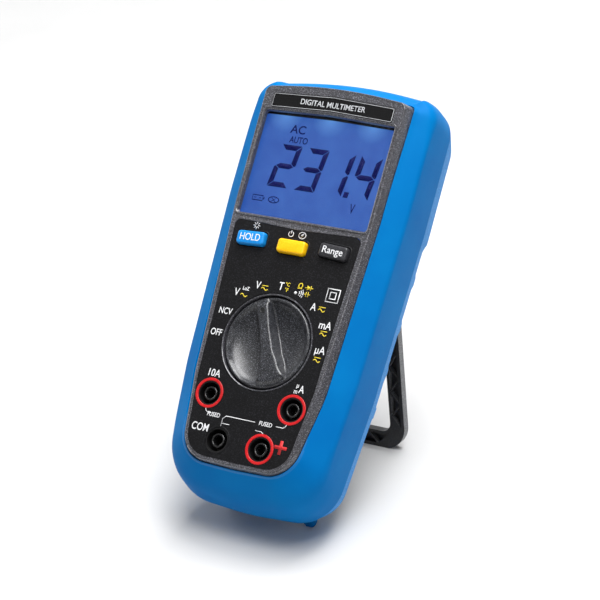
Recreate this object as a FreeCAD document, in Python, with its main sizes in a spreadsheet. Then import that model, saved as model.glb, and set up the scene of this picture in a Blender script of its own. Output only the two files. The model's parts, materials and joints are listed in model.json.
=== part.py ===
"""Handheld digital multimeter in a rubber holster, standing on its fold-out tilt stand.

Every sub-part is drawn in the face frame of the meter: x to the right, y up the face, z out of the
face, with the origin midway between the two lower input jacks at panel level. One common placement
then leans the whole meter back onto its stand. Millimetres.
"""
import FreeCAD, Part
import math
import os
import Sketcher

Vector = FreeCAD.Vector
Rotation = FreeCAD.Rotation
Placement = FreeCAD.Placement

doc = FreeCAD.newDocument("multimeter")
sheet = doc.addObject("Spreadsheet::Sheet", "dims")

DIMENSIONS = {
    # how the meter stands
    "lean_angle": 41.0, "ground_drop": 43.6, "depth_offset": -61.66,
    # holster
    "lip_level": -1.6, "break_level": -9.4, "belly_level": -20.0, "crease_level": -26.0,
    "holster_back": -42.4, "holster_gap": 0.15, "head_rise": 2.4, "foot_inner": 15.4, "foot_width": 4.4,
    # case shells
    "bezel_level": -3.0, "shoulder_level": -6.0, "split_level": -20.0, "rear_level": -41.0,
    "wall": 2.0, "face_thickness": 2.4, "head_depth": 4.0, "post_radius": 3.0, "back_floor": 2.4,
    "bed_depth": 0.5, "case_screw_radius": 1.1, "case_screw_head": 2.6, "board_screw_radius": 1.1,
    # selector
    "knob_centre": 41.0, "knob_radius": 18.5, "knob_well": 18.8, "well_floor": -6.4, "floor_thickness": 1.5,
    "hub_radius": 5.2, "hub_hole": 5.28, "knob_top": 1.0, "dish_radius": 17.2,
    "pointer_angle": 22.5, "rotor_radius": 16.0,
    # display
    "window_half": 28.8, "window_low": 90.5, "window_high": 133.5, "lens_thickness": 1.5,
    "glass_top": -4.4, "glass_thickness": 2.4, "light_thickness": 3.9, "glass_half": 29.6,
    "glass_low": 86.6, "glass_high": 135.2, "light_half": 28.6, "light_low": 91.0, "light_high": 132.6,
    "frame_half": 31.0, "frame_low": 85.4, "frame_high": 136.4, "frame_depth": 7.0,
    "strip_half": 27.0, "strip_width": 1.6, "strip_low": 87.0, "strip_high": 133.3,
    # keys
    "key_width": 12.3, "key_height": 5.6, "key_rise": 2.2, "key_travel": 1.0, "key_side": 18.4,
    "key_row": 80.3, "key_middle": 79.5, "key_tilt": 3.0,
    # jacks
    "jack_pitch": 19.0, "upper_jack": 18.3, "upper_jack_row": 17.3, "ring_outer": 6.0,
    "ring_inner": 4.9, "ring_back": -2.6, "ring_rise": 0.25, "shroud_inner": 4.4, "shroud_rim": -0.2,
    "shroud_floor": -8.0, "shroud_back": -11.8, "tube_outer": 2.8, "tube_front": -1.5, "tube_back": -13.6,
    "tube_floor": -12.6, "plug_radius": 2.0, "hole_play": 0.05,
    # board and what is on it
    "board_level": -12.0, "board_thickness": 1.6, "fuse_level": -21.0, "fuse_cap": 6.0,
    "clip_sheet": 0.4, "clip_half": 1.8, "wire_radius": 0.35, "shunt_radius": 0.9,
    # supply
    "cell_radius": 7.05, "cell_length": 49.2, "cell_side": 7.7, "cell_level": -31.8, "cell_low": 17.6,
    "bay_half": 16.6, "bay_low": 15.0, "bay_high": 70.0, "bay_floor": -24.5, "door_half": 19.0,
    "door_low": 12.0, "door_high": 80.0, "door_thickness": 1.8,
    # stand
    "hinge_row": 97.0, "hinge_level": -43.2, "open_angle": 34.2, "stand_reach": 89.6,
    "stand_top_half": 21.0, "stand_foot_half": 27.0, "stand_thickness": 3.6, "barrel_radius": 1.8,
    "stand_corner": 10.0, "leg_width": 7.0, "foot_bar": 7.6, "window_top": 10.0, "truss_depth": 2.3,
    "pin_radius": 1.0, "pin_bore": 1.05, "stand_rim": 1.1, "rib_inset": 0.32, "lug_width": 3.2,
}

for row, (alias, number) in enumerate(DIMENSIONS.items(), start=1):
    sheet.set(f"A{row}", alias)
    sheet.set(f"B{row}", str(number))
    sheet.setAlias(f"B{row}", alias)
doc.recompute()


class Size:
    """A number that carries the spreadsheet formula it came from."""

    def __init__(self, number, formula):
        self.number = number
        self.formula = formula

    def joined(self, other, sign, number):
        text = other.formula if isinstance(other, Size) else repr(other)
        return Size(number, f"({self.formula} {sign} {text})")

    def __float__(self):
        return float(self.number)

    def __add__(self, other):
        return self.joined(other, "+", self.number + float(other))

    def __radd__(self, other):
        return self + other

    def __sub__(self, other):
        return self.joined(other, "-", self.number - float(other))

    def __rsub__(self, other):
        return -self + other

    def __mul__(self, other):
        return self.joined(other, "*", self.number * float(other))

    def __truediv__(self, other):
        return self.joined(other, "/", self.number / float(other))

    def __neg__(self):
        return self * -1


class Sheet:
    """Reads the spreadsheet's cells as sizes: d.wall is the cell with the alias wall."""

    def __getattr__(self, alias):
        return Size(float(sheet.get(alias)), f"dims.{alias}")


d = Sheet()
PIECES = []


def tie(item, name, size):
    """Binds a property to the sheet when its size comes from there."""
    if isinstance(size, Size):
        item.setExpression(name, size.formula)


def piece(label):
    """An empty body with the lean that all the pieces share."""
    body = doc.addObject("PartDesign::Body", label)
    body.Label = label
    body.AllowCompound = True
    body.Placement = Placement(Vector(0, float(d.depth_offset), float(d.ground_drop)),
                               Rotation(Vector(1, 0, 0), 90 - float(d.lean_angle)))
    tie(body, "Placement.Base.y", d.depth_offset)
    tie(body, "Placement.Base.z", d.ground_drop)
    PIECES.append(body)
    return body


def sketch(body, level=0.0, plane="XY_Plane", turn=0.0, at=(0.0, 0.0)):
    """A sketch on one of the body's own planes, moved along the plane's normal to a level."""
    drawing = body.newObject("Sketcher::SketchObject", "Sketch")
    support = next(item for item in body.Origin.OriginFeatures if item.Role == plane)
    drawing.AttachmentSupport = (support, "")
    drawing.MapMode = "FlatFace"
    drawing.AttachmentOffset = Placement(Vector(float(at[0]), float(at[1]), float(level)),
                                         Rotation(Vector(0, 0, 1), float(turn)))
    tie(drawing, "AttachmentOffset.Base.x", at[0])
    tie(drawing, "AttachmentOffset.Base.y", at[1])
    tie(drawing, "AttachmentOffset.Base.z", level)
    return drawing


def hold(drawing, kind, where, size):
    """Adds a measured constraint and binds it to the sheet."""
    index = drawing.addConstraint(Sketcher.Constraint(kind, *where, float(size)))
    tie(drawing, f"Constraints[{index}]", size)


def hold_point(drawing, geometry, end, x, y):
    hold(drawing, "DistanceX", (-1, 1, geometry, end), x)
    hold(drawing, "DistanceY", (-1, 1, geometry, end), y)


def circle(drawing, x, y, radius):
    index = drawing.addGeometry(Part.Circle(Vector(float(x), float(y), 0), Vector(0, 0, 1), float(radius)))
    hold(drawing, "Radius", (index,), radius)
    hold_point(drawing, index, 3, x, y)


def rectangle(drawing, left, right, low, high):
    corners = [Vector(float(x), float(y), 0) for x, y in
               ((left, low), (right, low), (right, high), (left, high))]
    lines = [drawing.addGeometry(Part.LineSegment(corners[i], corners[(i + 1) % 4])) for i in range(4)]
    for i in range(4):
        drawing.addConstraint(Sketcher.Constraint("Coincident", lines[i], 2, lines[(i + 1) % 4], 1))
        drawing.addConstraint(Sketcher.Constraint("Vertical" if i % 2 else "Horizontal", lines[i]))
    hold_point(drawing, lines[0], 1, left, low)
    hold_point(drawing, lines[1], 2, right, high)


def outline(drawing, corners):
    """A closed run of straight lines. A corner with a third number is rounded to that radius."""
    points = [Vector(float(corner[0]), float(corner[1]), 0) for corner in corners]
    radii = [float(corner[2]) if len(corner) > 2 else 0.0 for corner in corners]
    starts, ends = [], []
    for i, point in enumerate(points):
        before = (points[i - 1] - point).normalize()
        after = (points[(i + 1) % len(points)] - point).normalize()
        half_turn = before.getAngle(after) / 2
        reach = radii[i] / math.tan(half_turn)
        starts.append(point + before * reach)
        ends.append(point + after * reach)
        if radii[i]:
            middle = (before + after).normalize()
            inner = point + middle * (radii[i] / math.sin(half_turn) - radii[i])
            drawing.addGeometry(Part.Arc(starts[i], inner, ends[i]))
    for i in range(len(points)):
        drawing.addGeometry(Part.LineSegment(ends[i - 1], starts[i]))


def both_sides(half):
    """Mirrors the right-hand half of an outline, listed from the bottom up, onto the left."""
    mirrored = [(-corner[0], *corner[1:]) for corner in reversed(half) if corner[0]]
    return half + mirrored


def pad(body, drawing, length, inward=False, midplane=False):
    feature = body.newObject("PartDesign::Pad", "Pad")
    feature.Profile = drawing
    feature.Length = float(length)
    feature.Reversed = inward
    feature.Midplane = midplane
    tie(feature, "Length", length)
    drawing.Visibility = False
    return feature


def pocket(body, drawing, depth, outward=False, midplane=False, taper=0.0):
    feature = body.newObject("PartDesign::Pocket", "Pocket")
    feature.Profile = drawing
    feature.Length = float(depth)
    feature.Reversed = outward
    feature.Midplane = midplane
    feature.TaperAngle = taper
    tie(feature, "Length", depth)
    return feature


def loft(body, levels, cut=False):
    """Joins outlines, given as (level, corners) from front to back, by ruled faces."""
    kind = "PartDesign::SubtractiveLoft" if cut else "PartDesign::AdditiveLoft"
    drawings = []
    for level, corners in levels:
        drawings.append(sketch(body, level))
        outline(drawings[-1], corners)
    feature = body.newObject(kind, "Loft")
    feature.Profile = drawings[0]
    feature.Sections = drawings[1:]
    feature.Ruled = True
    return feature


def revolve(body, drawing, cut=False):
    """Turns a profile about the sketch's vertical axis."""
    feature = body.newObject("PartDesign::Groove" if cut else "PartDesign::Revolution", "Turned")
    feature.Profile = drawing
    feature.ReferenceAxis = (drawing, ["V_Axis"])
    feature.Angle = 360
    return feature


def soften(body, radius, chosen):
    """Rounds the edges of the body so far that the test picks."""
    doc.recompute()
    names = [f"Edge{i + 1}" for i, edge in enumerate(body.Tip.Shape.Edges) if chosen(edge)]
    base = body.Tip
    feature = body.newObject("PartDesign::Fillet", "Rounded")
    feature.Base = (base, names)
    feature.Radius = float(radius)
    tie(feature, "Radius", radius)
    return feature


# ---- outlines shared by the case, the holster and the panel ----

def grown(corners, by):
    """Moves each corner of a half outline outwards from the middle of the face."""
    wider = []
    for x, y, *radius in corners:
        up = 1 if y > 60 else -1
        wider.append((x + by if x else 0, y + by * up if abs(y - 60) > 60 else y, *radius))
    return wider


LIP = [(0, -9.9, 90), (24.3, -9.2, 13.2), (29.6, 25, 60), (32.5, 95, 90), (32.8, 144.4, 3.2),
       (0, 147.6, 200)]
BREAK = [(0, -20.2, 90), (33.6, -17.8, 19), (37.9, 30, 120), (40.2, 100, 200), (40.2, 149.6, 9.5),
         (0, 153.2, 200)]
BELLY = [(0, -23.6, 90), (33.4, -21.4, 19), (37.6, 30, 120), (39.9, 100, 200), (39.9, 149.9, 13.5),
         (0, 154.0, 200)]
CREASE = [(0, -22.9, 90), (33.0, -20.9, 18), (37.2, 30, 120), (39.4, 100, 200), (39.4, 149.3, 13.5),
          (0, 153.4, 200)]
BACK = [(0, -17.6, 90), (28.6, -16.8, 13), (32.4, 30, 120), (34.5, 100, 200), (34.5, 146.2, 12),
        (0, 149.0, 200)]
CASE_TOP = [(0, -8.7, 90), (23.0, -8.2, 11), (26.9, 25, 60), (30.6, 95, 60), (31.3, 143.3, 3),
            (0, 145.6, 200)]
CASE_SIDE = [(0, -13.2, 90), (26.6, -12.4, 11), (33.0, 40, 120), (35.6, 100, 200), (35.6, 146.4, 10),
             (0, 148.2, 200)]
CASE_REAR = [(0, -11.4, 90), (24.4, -10.8, 9), (28.6, 40, 120), (31.0, 100, 200), (31.0, 143.2, 8),
             (0, 144.4, 200)]
# the foot's side view: a flat sole between its first two points, both on the bench
FOOT = [(-21.2, -42.1), (-19.2, -44.4), (-12.5, -44.4, 1), (-11.0, -41.0), (-18.0, -36.0)]
HOLSTER_HEAD = [(-34.3, 99.5, 2), (34.3, 99.5, 2), (34.3, 145.6, 11), (-34.3, 145.6, 11)]
BACK_OPENING = [(0, -9.5), (25.0, -9.5, 8), (28.4, 30, 60), (29.6, 96, 60), (29.6, 142, 8), (0, 142)]
CASE_HEAD = [(-29, 99.6, 2), (29, 99.6, 2), (29, 141.5, 7), (-29, 141.5, 7)]
LUG = [(94.6, -40.0), (99.8, -40.0), (99.8, -45.0), (96.6, -45.0, 1.5), (94.6, -44.0, 1.0)]


def holster():
    body = piece("holster")
    loft(body, [(d.lip_level, both_sides(LIP)), (d.break_level, both_sides(BREAK)),
                (d.belly_level, both_sides(BELLY)), (d.crease_level, both_sides(CREASE)),
                (d.holster_back, both_sides(BACK))])
    head = sketch(body, d.holster_back)
    outline(head, HOLSTER_HEAD)
    pad(body, head, d.head_rise, inward=True)
    for side in (1, -1):
        foot = sketch(body, (d.foot_inner + d.foot_width / 2) * side, "YZ_Plane")
        outline(foot, FOOT)
        pad(body, foot, d.foot_width, midplane=True)
    gap = float(d.holster_gap)
    loft(body, [(1.0, both_sides(grown(LIP, -gap))), (d.bezel_level + 0.6, both_sides(grown(LIP, -gap))),
                (d.shoulder_level + 0.3, both_sides(grown(CASE_SIDE, gap))),
                (d.crease_level, both_sides(grown(CASE_SIDE, gap))),
                (d.rear_level, both_sides(grown(CASE_REAR, gap)))], cut=True)
    opening = sketch(body, d.rear_level + 2)
    outline(opening, both_sides(BACK_OPENING))
    pocket(body, opening, 8)


PANEL = [(0, -7.6), (21.8, -7.6, 8), (25.5, 22, 30), (26.4, 50, 60), (28.1, 87.6, 2.5), (0, 86.6)]
TITLE = [(0, 135.9), (27.0, 134.8, 0.8), (27.0, 140.8, 0.8), (0, 142.0)]
KEYS = {"hold_button": -1, "select_button": 0, "range_button": 1}
BOARD = [(0, -5.0), (16.4, -5.0, 1), (16.4, -1.0, 1), (24.5, 12.0, 2), (29.0, 60.0, 2), (29.4, 136.0, 1),
         (20.8, 136.0), (20.8, 141.6, 1), (0, 141.6)]
BOARD_SCREWS = [(-26.0, 66.0), (26.0, 66.0), (-12.0, 139.3), (12.0, 139.3)]
DETENTS = [(0.0, 28.5), (0.0, 53.5)]
BRUSHES = [-12.0, -8.0, 8.0, 12.0]
GRIP = [(6.2, -17.0), (2.5, -3.0, 14), (2.2, 6.0, 20), (2.7, 17.4), (-2.7, 17.4), (-2.2, 6.0, 20),
        (-2.5, -3.0, 14), (-6.2, -17.0)]
CASE_SCREWS = [(-25.0, 139.8), (25.0, 139.8), (-20.5, -5.0), (20.5, -5.0)]


def box(body, left, right, low, high, level, thickness):
    shape = sketch(body, level)
    rectangle(shape, left, right, low, high)
    pad(body, shape, thickness, inward=True)


def rods(body, places, radius, level, length):
    """Round bars square to the face, from a level inwards."""
    shape = sketch(body, level)
    for x, y in places:
        circle(shape, x, y, radius)
    pad(body, shape, length, inward=True)


def drill(body, places, radius, level, depth, outward=False):
    """Round holes square to the face, from a level inwards or outwards."""
    shape = sketch(body, level)
    for x, y in places:
        circle(shape, x, y, radius)
    pocket(body, shape, depth, outward)


def plate(label, corners, level, thickness):
    """A flat piece of one outline, from its front level inwards."""
    body = piece(label)
    shape = sketch(body, level)
    outline(shape, corners)
    pad(body, shape, thickness, inward=True)
    return body


def upright_profile(body, x, y):
    """A sketch of (radius, level) points whose vertical axis stands on the face at x, y."""
    return sketch(body, -y, "XZ_Plane", at=(x, 0.0))


def key_place(side):
    """Centre and turn of a key: the outer two lean along the arc of the panel's top edge."""
    if side:
        return (d.key_side * side, d.key_row), d.key_tilt * -side
    return (0.0, d.key_middle), 0.0


def jack_places():
    """Centres of the four jacks: two at the jack pitch, two above and outside them."""
    half = d.jack_pitch / 2
    return {"com": (-half, 0.0), "volt": (half, 0.0),
            "high_current": (-d.upper_jack, d.upper_jack_row),
            "low_current": (d.upper_jack, d.upper_jack_row)}


def jack_hole(body, level, depth):
    for name, (x, y) in jack_places().items():
        hole = sketch(body, level)
        circle(hole, x, y, (d.ring_inner if name == "com" else d.ring_outer) + d.hole_play)
        pocket(body, hole, depth)


def key_window(body, level, grow, depth):
    for side in KEYS.values():
        centre, turn = key_place(side)
        window = sketch(body, level, turn=turn, at=centre)
        half_width, half_height = d.key_width / 2 + grow, d.key_height / 2 + grow
        rectangle(window, -half_width, half_width, -half_height, half_height)
        pocket(body, window, depth)


def front_case():
    body = piece("front_case")
    loft(body, [(0, both_sides(CASE_TOP)), (d.bezel_level, both_sides(grown(LIP, -0.5))),
                (d.shoulder_level, both_sides(CASE_SIDE)), (d.split_level, both_sides(CASE_SIDE))])
    inner = both_sides(grown(CASE_SIDE, -float(d.wall)))
    loft(body, [(-d.face_thickness, both_sides(CASE_TOP)), (d.shoulder_level - 1.5, inner),
                (d.split_level - 1, inner)], cut=True)
    well = sketch(body, -d.face_thickness)
    circle(well, 0.0, d.knob_centre, d.knob_well + d.floor_thickness)
    pad(body, well, -d.well_floor - d.face_thickness + d.floor_thickness, inward=True)
    mouth = sketch(body)
    circle(mouth, 0.0, d.knob_centre, d.knob_well)
    pocket(body, mouth, -d.well_floor)
    hub = sketch(body)
    circle(hub, 0.0, d.knob_centre, d.hub_hole)
    pocket(body, hub, 12)
    rods(body, CASE_SCREWS, d.post_radius, -d.face_thickness + 0.2, -d.face_thickness - d.split_level + 0.2)
    drill(body, CASE_SCREWS, 1.15, d.split_level, 12, outward=True)
    rods(body, BOARD_SCREWS, 2.2, -d.face_thickness + 0.2, -d.board_level - d.face_thickness + 0.2)
    drill(body, BOARD_SCREWS, 1.12, d.board_level, 5, outward=True)
    window = sketch(body)
    rectangle(window, -d.window_half, d.window_half, d.window_low, d.window_high)
    pocket(body, window, 6)
    key_window(body, 0.0, 0.15, 6)
    bed = sketch(body)
    outline(bed, both_sides(PANEL))
    pocket(body, bed, d.bed_depth)
    title_bed = sketch(body)
    outline(title_bed, both_sides(TITLE))
    pocket(body, title_bed, d.bed_depth)
    jack_hole(body, 0.0, 6)


def rear_case():
    body = piece("rear_case")
    loft(body, [(d.split_level, both_sides(CASE_SIDE)), (d.crease_level, both_sides(CASE_SIDE)),
                (d.rear_level, both_sides(CASE_REAR))])
    inner_side = both_sides(grown(CASE_SIDE, -float(d.wall)))
    loft(body, [(d.split_level + 1, inner_side), (d.crease_level, inner_side),
                (d.rear_level + d.back_floor, both_sides(grown(CASE_REAR, -float(d.wall))))], cut=True)
    head = sketch(body, d.rear_level)
    outline(head, CASE_HEAD)
    pad(body, head, d.head_depth, inward=True)
    bay = sketch(body, d.bay_floor + 1.2)
    rectangle(bay, -d.bay_half - 1.2, d.bay_half + 1.2, d.bay_low - 1.2, d.bay_high + 1.2)
    pad(body, bay, d.bay_floor - d.rear_level, inward=True)
    room = sketch(body, d.bay_floor)
    rectangle(room, -d.bay_half, d.bay_half, d.bay_low, d.bay_high)
    pocket(body, room, 40)
    seat = sketch(body, d.rear_level + d.door_thickness + 0.1)
    rectangle(seat, -d.door_half - 0.15, d.door_half + 0.15, d.door_low - 0.15, d.door_high + 0.15)
    pocket(body, seat, 10)
    boss = sketch(body, d.rear_level + d.door_thickness + 0.1)
    circle(boss, 0.0, d.door_high - 4, 2.6)
    pad(body, boss, 6)
    thread = sketch(body, d.rear_level + d.door_thickness)
    circle(thread, 0.0, d.door_high - 4, 1.05)
    pocket(body, thread, 5.5, outward=True)
    rods(body, CASE_SCREWS, d.post_radius + 0.8, d.split_level - 0.1, d.split_level - d.rear_level - 0.5)
    drill(body, CASE_SCREWS, 1.4, d.split_level + 1, 40)
    drill(body, CASE_SCREWS, 2.9, d.rear_level + 4, 20)
    for side in (1, -1):
        lug = sketch(body, (d.stand_top_half + 2.1) * side, "YZ_Plane")
        outline(lug, LUG)
        pad(body, lug, d.lug_width, midplane=True)
        bore = sketch(body, (d.stand_top_half + 2.1) * side, "YZ_Plane")
        circle(bore, d.hinge_row, d.hinge_level, d.pin_radius)
        pocket(body, bore, 3.4, midplane=True)


def panel_overlay():
    body = plate("panel_overlay", both_sides(PANEL), 0.0, d.bed_depth)
    jack_hole(body, 1.0, 4)
    mouth = sketch(body, 1)
    circle(mouth, 0.0, d.knob_centre, d.knob_well + 0.9)
    pocket(body, mouth, 4)
    key_window(body, 1.0, 0.15, 4)


def display():
    lens = piece("display_lens")
    box(lens, -d.window_half - 1.2, d.window_half + 1.2, d.window_low - 1.0, d.window_high + 1.4,
        -d.face_thickness - 0.05, d.lens_thickness)
    glass = piece("lcd_glass")
    box(glass, -d.glass_half, d.glass_half, d.glass_low, d.glass_high, d.glass_top, d.glass_thickness)
    light_top = d.glass_top - d.glass_thickness - 0.1
    light = piece("backlight_guide")
    box(light, -d.light_half, d.light_half, d.light_low, d.light_high, light_top, d.light_thickness)
    frame = piece("lcd_frame")
    box(frame, -d.frame_half, d.frame_half, d.frame_low, d.frame_high, d.glass_top - 0.4, d.frame_depth)
    bed = sketch(frame, d.glass_top)
    rectangle(bed, -d.glass_half - 0.1, d.glass_half + 0.1, d.glass_low - 0.1, d.glass_high + 0.1)
    pocket(frame, bed, d.glass_thickness + 0.15)
    well = sketch(frame, d.glass_top)
    rectangle(well, -d.light_half - 0.1, d.light_half + 0.1, d.light_low - 0.1, d.light_high + 0.1)
    pocket(frame, well, 20)
    for low in (d.strip_low, d.strip_high):
        slot = sketch(frame, 0)
        rectangle(slot, -d.strip_half - 0.1, d.strip_half + 0.1, low - 0.1, low + d.strip_width + 0.1)
        pocket(frame, slot, 20)
    strips = piece("contact_strips")
    for low in (d.strip_low, d.strip_high):
        box(strips, -d.strip_half, d.strip_half, low, low + d.strip_width, d.glass_top - d.glass_thickness,
            -d.board_level + d.glass_top - d.glass_thickness)
    leds = piece("backlight_leds")
    for x in (-19.5, 0.5, 19.5):
        box(leds, x - 1.6, x + 1.6, 129.0, 131.6, d.board_level + 1.2, 1.2)


def main_board():
    body = plate("main_board", both_sides(BOARD), d.board_level, d.board_thickness)
    drill(body, jack_places().values(), d.tube_outer + 0.05, d.board_level + 1, 4)
    drill(body, [(0.0, d.knob_centre)], 3.4, d.board_level + 1, 4)
    drill(body, BOARD_SCREWS, 1.2, d.board_level + 1, 4)
    screws = piece("board_screws")
    rods(screws, BOARD_SCREWS, 2.1, d.board_level - d.board_thickness, 1.4)
    rods(screws, BOARD_SCREWS, d.board_screw_radius, d.board_level + 3.5, d.board_thickness + 3.6)


def selector():
    """The knob, and the contact rotor that it turns behind the floor of its well."""
    centre = [(0.0, d.knob_centre)]
    knob = piece("selector_knob")
    rods(knob, centre, d.knob_radius, d.knob_top, d.knob_top - d.well_floor - 0.2)
    soften(knob, 0.7, lambda edge: edge.CenterOfMass.z > float(d.knob_top) - 0.01)
    bowl = upright_profile(knob, 0.0, d.knob_centre)
    outline(bowl, [(0, -5.2), (9.0, -4.9, 4), (15.4, -1.6, 5), (d.dish_radius, 3.0), (0, 3.0)])
    revolve(knob, bowl, cut=True)
    grip = sketch(knob, d.knob_top - 0.1, turn=d.pointer_angle, at=(0.0, d.knob_centre))
    outline(grip, GRIP)
    pad(knob, grip, d.knob_top + 5.2, inward=True)
    dot = sketch(knob, d.knob_top + 1, turn=d.pointer_angle, at=(0.0, d.knob_centre))
    circle(dot, 0.0, 13.0, 0.8)
    pocket(knob, dot, 1.6)
    rods(knob, centre, d.hub_radius, d.well_floor + 0.3, 2.1)
    drill(knob, centre, 1.1, d.well_floor - 3, 3.2, outward=True)
    rotor = piece("switch_rotor")
    top = d.well_floor - d.floor_thickness - 0.35
    rods(rotor, centre, d.rotor_radius, top, 2.0)
    drill(rotor, centre, 1.3, top + 1, 4)
    drill(rotor, DETENTS, 0.75, top + 1, 2.6)
    springs = piece("detent_springs")
    rods(springs, DETENTS, 0.6, top - 1.1, 0.5)
    balls = piece("detent_balls")
    for x, y in DETENTS:
        ball = upright_profile(balls, x, y)
        middle = float(top) - 0.4
        low, high = Vector(0, middle - 0.7, 0), Vector(0, middle + 0.7, 0)
        ball.addGeometry(Part.Arc(low, Vector(0.7, middle, 0), high))
        ball.addGeometry(Part.LineSegment(high, low))
        revolve(balls, ball)
    brushes = piece("contact_brushes")
    for x in BRUSHES:
        box(brushes, x - 0.6, x + 0.6, 36.0, 46.0, top - 2.0, 0.3)
        box(brushes, x - 0.6, x + 0.6, 44.6, 46.0, top - 2.2, 1.45)
    screw = piece("rotor_screw")
    rods(screw, centre, 2.4, top - 2.0, 1.5)
    rods(screw, centre, 1.05, top + 0.6, 2.7)


def keys():
    """Each key: a cap through the face, a flange behind it and a stem down to the board."""
    pads = piece("key_contacts")
    mat = piece("key_mat")
    box(mat, -26.5, 26.5, 75.0, 84.8, d.board_level + 0.8, 0.7)
    for label, side in KEYS.items():
        centre, turn = key_place(side)
        body = piece(label)
        for level, grow, deep in ((d.key_rise, 0.0, d.key_rise + d.face_thickness + 0.3),
                                  (-d.face_thickness - 0.1, 0.7, 1.0)):
            cap = sketch(body, level, turn=turn, at=centre)
            half_width, half_height = d.key_width / 2 + grow, d.key_height / 2 + grow
            rectangle(cap, -half_width, half_width, -half_height, half_height)
            pad(body, cap, deep, inward=True)
        soften(body, 0.5, lambda edge: edge.CenterOfMass.z > float(d.key_rise) - 0.01)
        stem_length = -d.board_level - d.face_thickness - d.key_travel - 1.3
        rods(body, [centre], 1.5, -d.face_thickness - 1, stem_length)
        drill(mat, [centre], 1.75, d.board_level + 2, 3)
        collar = sketch(mat, d.board_level + 3.4)
        circle(collar, *centre, 2.7)
        circle(collar, *centre, 1.75)
        pad(mat, collar, 2.7, inward=True)
        rods(pads, [centre], 1.3, d.board_level + 0.1, 0.1)


def jacks():
    shrouds = piece("jack_shrouds")
    rings = piece("jack_rings")
    for name, (x, y) in jack_places().items():
        cup = upright_profile(shrouds, x, y)
        bore, skirt = d.tube_outer + d.hole_play, d.ring_inner - d.hole_play
        outline(cup, [(bore, d.shroud_back), (skirt, d.shroud_back), (skirt, d.shroud_rim),
                      (d.shroud_inner, d.shroud_rim), (d.shroud_inner, d.shroud_floor),
                      (bore, d.shroud_floor)])
        revolve(shrouds, cup)
        if name != "com":
            ring = upright_profile(rings, x, y)
            outline(ring, [(d.ring_inner, d.ring_back), (d.ring_outer, d.ring_back),
                           (d.ring_outer, d.ring_rise, 0.2), (d.ring_inner, d.ring_rise, 0.2)])
            revolve(rings, ring)
        body = piece(f"jack_socket_{name}")
        tube = upright_profile(body, x, y)
        outline(tube, [(0, d.tube_back), (d.tube_outer, d.tube_back), (d.tube_outer, d.tube_front),
                       (d.plug_radius, d.tube_front), (d.plug_radius, d.tube_floor), (0, d.tube_floor)])
        revolve(body, tube)


def lying(body, y, level, radius, left, right):
    """A round bar lying across the meter."""
    shape = sketch(body, right, "YZ_Plane")
    circle(shape, y, level, radius)
    pad(body, shape, right - left, inward=True)


def standing(body, x, level, radius, low, high):
    """A round bar lying along the meter's length."""
    shape = sketch(body, -low, "XZ_Plane")
    circle(shape, x, level, radius)
    pad(body, shape, high - low, inward=True)


# each fuse: its row on the face, its radius and its length
FUSES = {"fuse_high_current": (7.4, 5.15, 38.0), "fuse_low_current": (-2.9, 3.15, 32.0)}


def fuses():
    """Two glass fuses with end caps, each held by a pair of sprung sheet clips under the board."""
    clips = piece("fuse_clips")
    under = d.board_level - d.board_thickness
    for label, (y, radius, length) in FUSES.items():
        body = piece(label)
        lying(body, y, d.fuse_level, radius - 0.25, 1 - length / 2, length / 2 - 1)
        for side in (-1, 1):
            left = length / 2 - d.fuse_cap if side > 0 else Size(-length / 2, repr(-length / 2))
            lying(body, y, d.fuse_level, radius, left, left + d.fuse_cap)
            middle = side * (length / 2 - 1.8)
            left, right = middle - d.clip_half, middle + d.clip_half
            for low in (y - radius - d.clip_sheet, y + radius):
                box(clips, left, right, low, low + d.clip_sheet, under, 9.5)
            box(clips, left, right, y - radius - d.clip_sheet, y + radius + d.clip_sheet, under, d.clip_sheet)


def supply():
    for label, side in (("battery_left", -1), ("battery_right", 1)):
        body = piece(label)
        high = d.cell_low + d.cell_length
        standing(body, d.cell_side * side, d.cell_level, d.cell_radius, d.cell_low, high)
        button = high if side > 0 else d.cell_low - 1.2
        standing(body, d.cell_side * side, d.cell_level, 2.75, button, button + 1.2)
    contacts = piece("battery_contacts")
    for x in (-1, 1):
        for low in (d.bay_low + 0.05, d.bay_high - 0.45):
            box(contacts, d.cell_side * x - 5.0, d.cell_side * x + 5.0, low, low + 0.4, d.cell_level + 5, 10)
    door = piece("battery_door")
    top = d.rear_level + d.door_thickness
    box(door, -d.door_half, d.door_half, d.door_low, d.door_high, top, d.door_thickness)
    drill(door, [(0.0, d.door_high - 4)], 1.5, top + 1, 5)
    drill(door, [(0.0, d.door_high - 4)], 2.2, d.rear_level + 0.9, 5)
    screw = piece("battery_door_screw")
    rods(screw, [(0.0, d.door_high - 4)], 2.0, d.rear_level + 0.85, 0.85)
    rods(screw, [(0.0, d.door_high - 4)], 1.0, d.rear_level + 4.5, 3.7)


def fasteners():
    screws = piece("case_screws")
    rods(screws, CASE_SCREWS, d.case_screw_head, d.rear_level + 4, 2.0)
    rods(screws, CASE_SCREWS, d.case_screw_radius, d.split_level + 6, d.split_level - d.rear_level + 2.2)


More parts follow.
